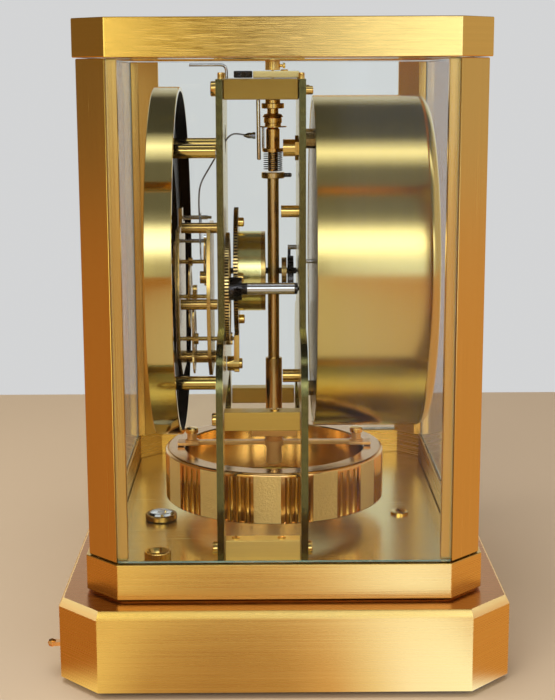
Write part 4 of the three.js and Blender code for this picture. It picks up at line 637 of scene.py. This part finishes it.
# ---- wheels and dial: the CAD shapes, each part of them in its own finish
wheelLooks = {
    "second_wheel": {"axis": (24, 126.2), "steelWithin": 4.7, "rim": 19.6, "teeth": "secondTeeth"},
    "barrel": {"axis": (-4.4, 129), "steelWithin": 0, "rim": 23.4, "teeth": "greatTeeth"},
}
wheelSideTilt = 0.5
dialLooks = {"markRise": 0.05, "faceDepth": 0.01, "edgeDepth": 1.3, "faceTilt": 0.9}   # mm from its face


def makeWheels(values):
    for node, look in values.items():
        axleX, axleZ = (v * mm for v in look["axis"])

        def wheelFinish(face):
            reach = math.hypot(face.center.x - axleX, face.center.z - axleZ)
            if reach < look["steelWithin"] * mm:
                return 1
            return 2 if reach > look["rim"] * mm and abs(face.normal.y) < wheelSideTilt else 0

        paint(refined(node, "wheelBrass", 0, smooth=20), ("darkSteel", look["teeth"]), wheelFinish)


def makeDialFace(values):
    front = dialFace + caseShift

    def dialFinish(face):
        station = face.center.y / mm
        if station < front - values["markRise"]:
            return 2
        if station < front + values["faceDepth"] and face.normal.y < -values["faceTilt"]:
            return 1
        return 3 if station < front + values["edgeDepth"] else 0

    dial = refined("dial_plate", "polishedBrass", 0, smooth=20)
    paint(dial, ("dialIvory", "dialInk", "blackLining"), dialFinish)


# a thin line for each minute: one is drawn, and spun copies follow
minuteTrack = {"count": 60, "width": 0.3, "inner": 58.6, "outer": 60.8, "height": 0.06, "sunk": 0.02}


def makeMinuteTrack(values):
    half = values["width"] / 2
    piece = bar(
        (-half, dialFace - values["height"], dialZ + values["inner"]),
        (half, dialFace + values["sunk"], dialZ + values["outer"]), 0,
    )
    rest = values["count"] - 1
    openMesh(piece)
    bpy.ops.mesh.spin(
        steps=rest, dupli=True, angle=2 * math.pi * rest / values["count"],
        center=at(0, 0, dialZ), axis=(0, 1, 0),
    )
    closeMesh()
    settle(piece, "minuteTrack", "case", "dialInk", smooth=10)


makeWheels(wheelLooks)
makeDialFace(dialLooks)
makeMinuteTrack(minuteTrack)
print("wheels and dial finished")

# ---- dial ring: thin polished band, black inside
dialBand = {
    "sides": 160,
    "profile": [
        (64.8, -37.8), (66.25, -37.8), (66.5, -38.05), (66.5, -47.15), (66.25, -47.4), (64.5, -47.4),
        (64.3, -47.2), (64.3, -46.2), (64.8, -46.2), (64.8, -37.8),
    ],
    "blackWithin": 65.2,
}


def makeDialBand(values):
    def bandFinish(face):
        rise = face.center.z - dialZ * mm
        inward = face.normal.x * face.center.x + face.normal.z * rise < 0
        return int(inward and math.hypot(face.center.x, rise) < values["blackWithin"] * mm)

    piece = turned(values["profile"], dialAxis, "Y", values["sides"], closed=True)
    settle(piece, "dialBand", "case", "ringBrass")
    paint(piece, ("blackLining",), bandFinish)
    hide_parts("dial_ring")


makeDialBand(dialBand)

# ---- drum: one spun shell, rounded at the back, given its wall inwards
drum = {
    "sides": 192, "radius": 63.15, "front": 12.0, "back": 54.8, "collar": 6,
    "edge": 4, "edgeSteps": 8, "wall": 1.8, "hub": 0.5, "rim": 0.3,
}


def makeDrum(values):
    radius, front, back, edge = (values[k] for k in ("radius", "front", "back", "edge"))
    profile = [(values["hub"], back)]
    for i in range(values["edgeSteps"] + 1):
        angle = math.pi / 2 * (1 - i / values["edgeSteps"])
        profile.append((radius - edge + edge * math.cos(angle), back - edge + edge * math.sin(angle)))
    profile += [(radius, front + values["collar"]), (radius, front)]
    piece = turned(profile, dialAxis, "Y", values["sides"], closed=True)
    reach = values["hub"] * 2 * mm   # the hole left at the back's middle is drawn together
    openPicked(piece, "VERT", lambda vert: math.hypot(vert.co.x, vert.co.z - dialZ * mm) < reach)
    bpy.ops.mesh.merge(type="CENTER")
    closeMesh()
    modify(piece, "SOLIDIFY", thickness=values["wall"] * mm, offset=-1)
    bevelled(piece, values["rim"], angle=60)
    settle(piece, "drumShell", "case", "drumBrass")
    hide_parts("drum_shell")


makeDrum(drum)

# ---- bellows inside the drum: rounded pleats
bellows = {
    "sides": 72, "front": 30.7, "back": 52.7,
    "outer": 51.8, "inner": 44.2, "pleats": 4, "stepsPerPleat": 8, "hub": 1,
}


def makeBellows(values):
    hub, front, back, inner, outer = (values[k] for k in ("hub", "front", "back", "inner", "outer"))
    profile = [(hub, front)]
    count = values["pleats"] * values["stepsPerPleat"]
    for i in range(count + 1):
        wave = (1 - math.cos(i / values["stepsPerPleat"] * 2 * math.pi)) / 2
        profile.append((inner + (outer - inner) * wave, front + (back - front) * i / count))
    profile.append((hub, back))
    piece = turned(profile, dialAxis, "Y", values["sides"])
    settle(piece, "bellowsPleats", "case", "tonedBrass", smooth=60)
    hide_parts("bellows")


makeBellows(bellows)
print("dial band, drum and bellows made")

# ---- balance ring: blasted panels between groups of three polished flutes
balanceRing = {
    "sides": 240, "radius": 42.8, "bore": 35, "low": 41.1, "high": 60.4, "rim": 1.6, "rimInset": 1.3,
    "rimSteps": 6, "groove": 0.75, "flutes": 3, "fluteRadius": 1.45, "fluteRun": 41.35, "fluteSides": 20,
    "groupStep": 30, "groupFirst": 11.5, "groupWidth": 13.5, "border": 1.2,   # degrees
    "footEdge": 0.3, "boreFootEdge": 0.4, "boreTopEdge": 0.5,
    # a flute's ends, as steps out from its radius and up from the ring's foot or rim
    "fluteFoot": [(-0.3, 0.15), (0, 0.45)], "fluteTop": [(0, -0.1), (-0.2, 0.15)],
    # which faces are the wall and the top; those in a group are this near the wall and this large
    "wallWithin": 0.1, "wallTilt": 0.2, "topTilt": 0.98, "groupWithin": 0.2, "groupArea": 1e-6,
}


def makeBalanceRing(values):
    low, high, bore, radius = (values[k] for k in ("low", "high", "bore", "radius"))
    inset, rim, step, width = (values[k] for k in ("rimInset", "rim", "groupStep", "groupWidth"))
    middle = at(*balanceAxis, 0)

    def reach(face):
        return math.hypot(face.center.x - middle.x, face.center.y - middle.y)

    # degrees round from the middle of the nearest group
    def away(face):
        angle = math.atan2(face.center.y - middle.y, face.center.x - middle.x)
        return abs((math.degrees(angle) - values["groupFirst"] + step / 2) % step - step / 2)

    def inGroup(face):
        outside = reach(face) > (radius - values["groupWithin"]) * mm
        return outside and face.area > values["groupArea"] and away(face) < width / 2

    def ringFinish(face):
        outside = reach(face) > (radius - values["wallWithin"]) * mm
        wall = outside and abs(face.normal.z) < values["wallTilt"]
        if wall and away(face) > width / 2 + values["border"]:
            return 1
        # top faces take the darker top finish: painted shade
        return 2 if face.normal.z > values["topTilt"] else 0

    foot, boreFoot, boreTop = (values[k] for k in ("footEdge", "boreFootEdge", "boreTopEdge"))
    profile = [
        (bore, low + boreFoot), (bore + boreFoot, low), (radius - foot, low), (radius, low + foot),
        (radius, high - rim),
    ]
    for i in range(1, values["rimSteps"] + 1):   # rounded upper rim
        angle = math.pi / 2 * i / values["rimSteps"]
        profile.append((radius - inset + inset * math.cos(angle), high - inset + inset * math.sin(angle)))
    profile += [(bore + boreTop, high), (bore, high - boreTop), (bore, low + boreFoot)]
    ring = turned(profile, balanceAxis, "Z", values["sides"], closed=True)
    openPicked(ring, "FACE", inGroup)
    extrude(0)
    scale = 1 - values["groove"] / radius
    bpy.ops.transform.resize(value=(scale, scale, 1), center_override=middle)
    bpy.ops.mesh.select_mode(type="VERT")
    bpy.ops.object.mode_set(mode="OBJECT")
    settle(ring, "balanceRing", "balance", "ringGilt", smooth=28)
    paint(ring, ("blastedBrass", "ringTop"), ringFinish)
    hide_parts("balance_ring")
    thick = values["fluteRadius"]
    profile = [
        (thick + out, level + up)
        for level, steps in ((low, values["fluteFoot"]), (high - rim, values["fluteTop"]))
        for out, up in steps
    ]
    flute = turned(profile, (values["fluteRun"], balanceY), "Z", values["fluteSides"])
    settle(flute, "flute", "balance", "fluteBrass")
    spread = width / values["flutes"]
    for group in range(360 // step):
        for i in range(values["flutes"]):
            turn = values["groupFirst"] + group * step + (i - (values["flutes"] - 1) / 2) * spread
            copy = duplicated(flute)
            spin = Matrix.Rotation(math.radians(turn), 4, "Z")
            copy.data.transform(Matrix.Translation(middle) @ spin @ Matrix.Translation(-middle))
            copy.name = f"flute_{group}_{i}"
            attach(copy, "balance")
    bpy.data.objects.remove(flute)


makeBalanceRing(balanceRing)

# ---- cross arm: thin bar on two pads, with its slab, threaded neck and end posts
crossArm = {
    "barWidth": 3, "barLength": 64, "low": 60.7, "high": 62.3, "slab": (11, 17.4, 64.9, 67.9),
    "padWidth": 6, "padFrom": 29.6, "padTo": 38, "padHigh": 61.9, "postReach": 32.4,
    "edge": 0.25, "slabEdge": 0.3, "neckSides": 48, "postSides": 40,
    "neck": [
        (2.6, 53), (3, 53.4), (3, 60.2), (3.9, 60.4), (3.9, 62.5), (3.3, 62.8), (3.6, 63.1), (3.3, 63.4),
        (3.6, 63.7), (3.3, 64), (3.6, 64.3), (3.4, 64.9),
    ],
    "post": [(2.7, 61.9), (2.7, 62.6), (1.9, 62.8), (1.9, 65.2), (2.2, 65.4)],
}


def makeCrossArm(values):
    half, reach, edge = values["barWidth"] / 2, values["barLength"] / 2, values["edge"]
    piece = bar((-half, balanceY - reach, values["low"]), (half, balanceY + reach, values["high"]), edge)
    settle(piece, "crossArm", "balance", "armGilt")
    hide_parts("balance_arm")
    wide, deep, low, high = values["slab"]
    ends = (-wide / 2, balanceY - deep / 2, low), (wide / 2, balanceY + deep / 2, high)
    slab = bar(*ends, values["slabEdge"])
    settle(slab, "hubSlab", "balance", "slabGilt")
    neck = turned(values["neck"], balanceAxis, "Z", values["neckSides"])
    settle(neck, "hubNeck", "balance", "armGilt", smooth=40)
    half = values["padWidth"] / 2
    for name, side in (("Front", -1), ("Rear", 1)):
        start, end = sorted((balanceY + side * values["padFrom"], balanceY + side * values["padTo"]))
        pad = bar((-half, start, values["low"]), (half, end, values["padHigh"]), edge)
        settle(pad, "armPad" + name, "balance", "armGilt")
        place = (0, balanceY + side * values["postReach"])
        post = turned(values["post"], place, "Z", values["postSides"])
        settle(post, "armPost" + name, "balance", "armGilt", smooth=40)


makeCrossArm(crossArm)
print("balance ring and cross arm made")

# ---- staff and roller stack: turned in one piece each, with polished arrises
turnedPieces = {
    "staffSleeve": {
        "node": "balance_staff", "sides": 64, "finish": "sleeveBrass",
        "profile": [
            (2.9, 66.2), (3.2, 66.5), (3.2, 95.3), (2.9, 95.6), (2.2, 95.6), (2.2, 165.2), (4.2, 165.2),
            (4.45, 165.45), (4.45, 167.25), (4.2, 167.5), (1.9, 167.5),
        ],
    },
    "rollerStack": {
        "node": "roller_stack", "sides": 56, "finish": "rollerBrass",
        "profile": [
            (1.7, 167.8), (1.9, 168.0), (1.9, 175.2), (3.9, 175.2), (4.1, 175.4), (4.1, 176.4), (3.9, 176.6),
            (2.6, 176.6), (2.6, 183.6), (1.9, 184.4), (5.1, 184.4), (5.2, 184.5), (5.2, 184.8), (5.1, 184.9),
            (3.1, 184.9), (3.1, 185.9), (3.45, 186.1), (3.45, 187.8), (3.2, 188), (4, 188.2), (3.3, 189.3),
            (2.15, 189.6), (2.15, 191.4), (4.1, 191.4), (4.3, 191.6), (4.3, 193.2), (4.1, 193.4),
            (2.85, 193.4), (2.85, 194.6), (2.65, 194.8),
        ],
    },
}
for name, made in turnedPieces.items():
    piece = turned(made["profile"], balanceAxis, "Z", made["sides"])
    settle(piece, name, bodyOf[made["node"]], made["finish"], smooth=40)
    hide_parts(made["node"])


# a straight pin between two points, its ends drawn in by shares of its radius
pinLooks = {"sides": 14, "endRadius": 0.6, "endLength": 0.4}


def pin(name, start, end, radius, body, slotName, finish):
    along = at(*end) - at(*start)
    length = along.length / mm
    tip, rise = radius * pinLooks["endRadius"], radius * pinLooks["endLength"]
    profile = [(tip, 0), (radius, rise), (radius, length - rise), (tip, length)]
    piece = turned(profile, (0, -caseShift), "Z", pinLooks["sides"])
    piece.rotation_euler = along.to_track_quat("Z", "Y").to_euler()
    piece.location = at(*start)
    settle(piece, name, body, finish, smooth=50)


# ends and radius in mm, body, slot, finish
pins = {
    "collarPeg": ((0, 0.6, 166.35), (0, 4.2, 166.35), 0.8, "balance", "dark_brass", "darkSteel"),
    "impulsePin": ((-2.4, -6.6, 175.9), (-2.4, -6.6, 184.3), 0.5, "balance", "steel", "steel"),
    "guardRod": ((7, -8.4, 194.9), (7, -8.2, 172.5), 0.75, "case", "steel", "guardSteel"),
    "headScrewStem": ((0, -0.4, 207.3), (0, 0.9, 207.3), 0.6, "case", "polished_brass", "headBrass"),
}
for name, values in pins.items():
    pin(name, *values)
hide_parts("guard_strip")


# a wire bent through points, each corner rounded by the bend or by a share of a short run
wireLooks = {"bendSteps": 6, "bendShare": 0.48, "roundness": 3}


def wire(name, values, body, finish):
    points = [at(*point) for point in values["points"]]
    route = [points[0]]
    bendSteps, bendShare = wireLooks["bendSteps"], wireLooks["bendShare"]
    for before, corner, after in zip(points, points[1:], points[2:]):
        start, end = (
            corner + run.normalized() * min(values["bend"] * mm, run.length * bendShare)
            for run in (before - corner, after - corner)
        )
        for i in range(bendSteps + 1):
            t = i / bendSteps
            route.append(start * (1 - t) ** 2 + corner * 2 * t * (1 - t) + end * t ** 2)
    route.append(points[-1])
    bpy.ops.object.select_all(action="DESELECT")
    bpy.ops.curve.primitive_bezier_curve_add(location=(0, 0, 0))
    piece = bpy.context.object
    spline = piece.data.splines[0]
    spline.resolution_u = 1
    piece.data.resolution_u = 1
    spline.bezier_points.add(len(route) - len(spline.bezier_points))
    for knot, place in zip(spline.bezier_points, route):
        knot.handle_left_type = "VECTOR"
        knot.handle_right_type = "VECTOR"
        knot.co = place
    piece.data.bevel_depth = values["radius"] * mm
    piece.data.bevel_resolution = wireLooks["roundness"]
    piece.data.use_fill_caps = True
    alone(piece)
    bpy.ops.object.convert(target="MESH")
    openMesh(piece)
    bpy.ops.mesh.remove_doubles(threshold=0.000005)
    closeMesh()
    return settle(piece, name, body, finish, smooth=50)


# case-frame points, bend and radius in mm
indexWire = {
    "points": [(0, -34.3, 207.6), (0, -20.4, 207.6), (0, -20.2, 202.5)], "bend": 2.2, "radius": 0.58,
}
forkWire = {
    "points": [
        (-2, -31.3, 150.3), (-2, -31.5, 157), (-2, -30.9, 163), (-2, -25.1, 172.6), (-2, -21.8, 178.2),
        (-2, -18.6, 182.2), (-2, -13.3, 181.4),
    ],
    "bend": 3.2, "radius": 0.32,
    "tip": [(0.4, -14), (1.1, -12.2), (1.1, -10.7), (1.3, -10.6), (1.3, -9.6), (1.1, -9.5)],
    "tipPlace": (-2, 181.2), "tipSides": 28,
    "cutAbove": 151.4,      # the CAD fork's own wire is cut off here
}


def makeWires(index, fork):
    piece = wire("indexWire", index, bodyOf["index_wire"], "steel")
    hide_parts("index_wire")
    body = bodyOf["pallet_fork"]
    openMesh(refined("pallet_fork", "steel", 0, smooth=25))
    bpy.ops.mesh.bisect(
        plane_co=(0, 0, fork["cutAbove"] * mm), plane_no=(0, 0, 1), use_fill=True, clear_outer=True,
    )
    bpy.ops.object.mode_set(mode="OBJECT")
    wire("forkWire", fork, body, "bluedSteel")
    tip = turned(fork["tip"], fork["tipPlace"], "Y", fork["tipSides"])
    settle(tip, "forkTip", body, "bluedSteel", smooth=40)


makeWires(indexWire, forkWire)
print("wires made")


# every second edge of a many-sided rim is drawn in, which leaves a knurl; the rim is found within mm
rimWithin = 0.05


def knurl(piece, place, radius, sides, depth):
    middle = at(*place, 0)

    def alternate(vert):
        across = Vector((vert.co.x - middle.x, vert.co.y - middle.y))
        turn = round(math.atan2(across.y, across.x) / (2 * math.pi) * sides)
        return across.length > (radius - rimWithin) * mm and turn % 2 == 1

    openPicked(piece, "VERT", alternate)
    scale = 1 - depth / radius
    bpy.ops.transform.resize(value=(scale, scale, 1), center_override=middle)
    bpy.ops.object.mode_set(mode="OBJECT")


# ---- beat disc, thumb screw and spirit level; knurl: radius and depth
smallTurned = {
    "beatDisc": {
        "node": "beat_disc", "place": (0, -14.05), "sides": 72, "knurl": (3.5, 0.16), "finish": "darkSteel",
        "profile": [(3.2, 202.8), (3.5, 203.05), (3.5, 205.15), (3.2, 205.4), (1.6, 205.4), (1.5, 205.2)],
    },
    "thumbScrew": {
        "node": "floor_thumb_screw", "place": (66.5, -44.4), "sides": 72, "knurl": (4.7, 0.2),
        "finish": "polishedBrass",
        "profile": [
            (2.6, 33.3), (2.6, 35.1), (4.5, 35.3), (4.7, 35.6), (4.7, 38.9), (4.4, 39.3), (3.9, 39.3),
            (3.4, 38.6), (3.0, 37.6), (1.6, 37.1),
        ],
    },
    "levelCup": {
        "node": "spirit_level", "place": (10, -47.3), "sides": 96, "knurl": None, "finish": "tonedBrass",
        "profile": [
            (6.0, 33.3), (6.2, 33.5), (6.2, 35.2), (5.95, 35.5), (5.1, 35.5), (4.95, 35.3), (4.95, 34.7),
            (0.5, 34.6),
        ],
    },
}
levelGlass = {
    "place": (10, -47.3), "sides": 64,
    "dome": [(4.9, 35.25), (4.9, 35.4), (4.5, 35.85), (3.7, 36.3), (2.6, 36.65), (1.3, 36.85), (0.3, 36.9)],
    "liquid": [(4.9, 34.75), (4.9, 35), (4.6, 35.1), (1.9, 35.1), (1.7, 35.22), (1.3, 35.26), (0.3, 35.28)],
}


def makeSmallTurned(values, level):
    for name, made in values.items():
        node, place, sides = made["node"], made["place"], made["sides"]
        piece = turned(made["profile"], place, "Z", sides)
        if made["knurl"]:
            radius, depth = made["knurl"]
            knurl(piece, place, radius, sides, depth)
        settle(piece, name, bodyOf[node], made["finish"], smooth=30)
        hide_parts(node)
    body = bodyOf["spirit_level"]
    liquid = turned(level["liquid"], level["place"], "Z", level["sides"])
    settle(liquid, "levelLiquid", body, "bubbleGlass", smooth=50)
    dome = turned(level["dome"], level["place"], "Z", level["sides"])
    settle(dome, "levelDome", body, "glass", smooth=80)


makeSmallTurned(smallTurned, levelGlass)
print("small turned parts made")

# ---- damping spring: a fine wire wound round the tube
dampingSpring = {
    "low": 168.1, "wire": 0.17, "coil": 3.5, "pitch": 0.8, "turns": 9, "stepsPerTurn": 28, "wireSides": 8,
}


def makeSpring(values):
    bpy.ops.object.select_all(action="DESELECT")
    bpy.ops.mesh.primitive_circle_add(
        vertices=values["wireSides"], radius=values["wire"] * mm, fill_type="NOTHING",
    )
    piece = bpy.context.object
    piece.rotation_euler = (math.pi / 2, 0, 0)
    piece.location = (values["coil"] * mm, 0, 0)
    alone(piece)
    applyPlace()
    steps = values["stepsPerTurn"]
    modify(
        piece, "SCREW", axis="Z", angle=2 * math.pi, screw_offset=values["pitch"] * mm,
        iterations=values["turns"], steps=steps, render_steps=steps,
    )
    openMesh(piece)
    bpy.ops.mesh.remove_doubles(threshold=0.00001)
    bpy.ops.mesh.select_all(action="DESELECT")
    bpy.ops.mesh.select_mode(type="EDGE")
    bpy.ops.mesh.select_non_manifold()   # the wire's two open ends are filled
    bpy.ops.mesh.edge_face_add()
    bpy.ops.mesh.select_mode(type="VERT")
    closeMesh()
    piece.location = at(*balanceAxis, values["low"])
    settle(piece, "dampingSpring", "balance", "darkSteel", smooth=60)
    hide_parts("damping_spring")


makeSpring(dampingSpring)
print("staff, stack and spring made")

# ---- smooth turned parts of the train, set over the CAD wheels: body, place, sides, slot, finish, profile
pillarLooks = ("polished_brass", "polishedBrass", [(2.5, -42.05), (2.56, -42), (2.56, -24.0), (2.5, -23.9)])
trainTurned = {
    "barrelCup": ("mainspring_barrel", (-4.4, 129), 96, "polished_brass", "cupBrass", [
        (15.2, -16.4), (15.5, -16.2), (15.5, -8.0), (15.35, -7.2), (14.9, -6.5), (14.2, -6.1), (13.4, -5.95),
        (5, -5.95), (4.6, -5.8), (2.2, -5.8),
    ]),
    **{
        f"{height}DialPillar{side}": ("case", (x, z), 40, *pillarLooks)
        for height, z in (("upper", 176.79), ("lower", 90.89))
        for side, x in (("Left", -25.5), ("Right", 25.5))
    },
    "secondShaft": ("second_arbor", (24, 126.2), 40, "steel", "brightSteel", [
        (1.5, -13.6), (2.2, -12.6), (2.2, 4.7), (2.1, 4.85),
    ]),
    "secondPivot": ("second_arbor", (24, 126.2), 40, "steel", "blackLining", [
        (2.05, 4.85), (1.7, 5.5), (0.8, 6.3),
    ]),
}
for name, (body, place, sides, slotName, finish, profile) in trainTurned.items():
    settle(turned(profile, place, "Y", sides), name, body, finish, smooth=40)
print("train parts made")

# ---- screws: one slotted head of radius 1, copied
screwHead = {
    "profile": [(1, 0), (1, 0.5), (0.9, 0.62), (0.5, 0.66)], "sides": 28, "height": 0.66,
    "slotLength": 2.4, "slotWidth": 0.22, "slotFloor": 0.4, "slotTop": 0.9,
}


def makeScrewHead(values):
    piece = turned(values["profile"], (0, -caseShift), "Z", values["sides"])
    x, y = values["slotLength"] / 2, values["slotWidth"] / 2
    slot = bar((-x, -caseShift - y, values["slotFloor"]), (x, -caseShift + y, values["slotTop"]), 0)
    modify(piece, "BOOLEAN", object=slot, operation="DIFFERENCE", solver="EXACT")
    bpy.data.objects.remove(slot)
    return piece


# place, direction it faces, radius, height, turn of its slot in degrees; finish and body if they differ
screws = [
    # ends of the top block, stretchers and foot blocks
    ((-20, -23.5, 199), "-Y", 2.8, 2.2, 20), ((20, -23.5, 199), "-Y", 2.8, 2.2, 70),
    ((20, 8.9, 198.4), "+Y", 1.6, 2.9, 40), ((-20, 8.9, 198.4), "+Y", 1.6, 2.9, 10),
    ((57.6, -23.5, 37.1), "-Y", 2.6, 1.9, 30), ((-57.6, -23.5, 37.1), "-Y", 2.6, 1.9, 60),
    ((57.6, 8.9, 37.1), "+Y", 2.6, 1.6, 15), ((-57.6, 8.9, 37.1), "+Y", 2.6, 1.6, 75),
    ((57.4, -23.5, 84.6), "-Y", 2.3, 1.6, 25), ((-57.4, -23.5, 67.9), "-Y", 2.3, 1.6, 25),
    # tops of the foot blocks, stretcher, plates and bridge
    ((57.8, -17, 40.9), "+Z", 1.5, 0.5, 30), ((57.8, -0.6, 40.9), "+Z", 1.5, 0.5, 100),
    ((-57.8, -17, 40.9), "+Z", 1.5, 0.5, 10), ((-57.8, -0.6, 40.9), "+Z", 1.5, 0.5, 50),
    ((57.5, -2.8, 87.9), "+Z", 1.6, 0.5, 65),
    ((12, -22.25, 202.5), "+Z", 1.1, 2.4, 5), ((-12, -22.25, 202.5), "+Z", 1.1, 2.4, 65),
    ((14.5, 7.65, 202.5), "+Z", 1.15, 2.3, 25), ((-14.5, 7.65, 202.5), "+Z", 1.15, 2.3, 95),
    ((-8.5, 1.5, 205.3), "+Z", 1.3, 0.6, 30), ((8.5, 1.5, 205.3), "+Z", 1.3, 0.6, 80),
    ((0, 0.9, 207.3), "+Y", 1.05, 1.0, 20),
    # floor, arm posts, great wheel and lower cock
    ((4, 46.6, 33), "+Z", 3.6, 1.1, 15, "polishedBrass", "case"),
    ((-60, -44.4, 33), "+Z", 3.6, 1.1, 60, "polishedBrass", "case"),
    ((0, -35.3, 65.4), "+Z", 2.5, 2, 40, "headBrass", "balance"),
    ((0, 29.5, 65.4), "+Z", 2.5, 2, 55, "headBrass", "balance"),
    *(
        ((x - 4.4, -16.3, z + 129), "+Y", 1.8, 2.2, turn, "headBrass", "mainspring_barrel")
        for x, z, turn in ((0, 19, 30), (0, -19, 80), (19, 0, 120), (-19, 0, 10))
    ),
    ((14, -16, 96), "+Y", 2, 1.2, 45),
]
tilts = {"+Z": 0, "-Y": 90, "+Y": -90}   # degrees round X


def placeScrews(values):
    head = makeScrewHead(screwHead)
    for i, (place, facing, radius, height, slotTurn, *other) in enumerate(values):
        finish, body = other or ("headBrass", "case")
        copy = duplicated(head)
        size = Matrix.Diagonal((radius, radius, height / screwHead["height"], 1))
        spin = Matrix.Rotation(math.radians(slotTurn), 4, "Z")
        tilt = Matrix.Rotation(math.radians(tilts[facing]), 4, "X")
        copy.data.transform(Matrix.Translation(at(*place)) @ tilt @ spin @ size)
        settle(copy, f"screw_{i}", body, finish, smooth=40)
    bpy.data.objects.remove(head)


placeScrews(screws)
print("screws placed:", len(screws))
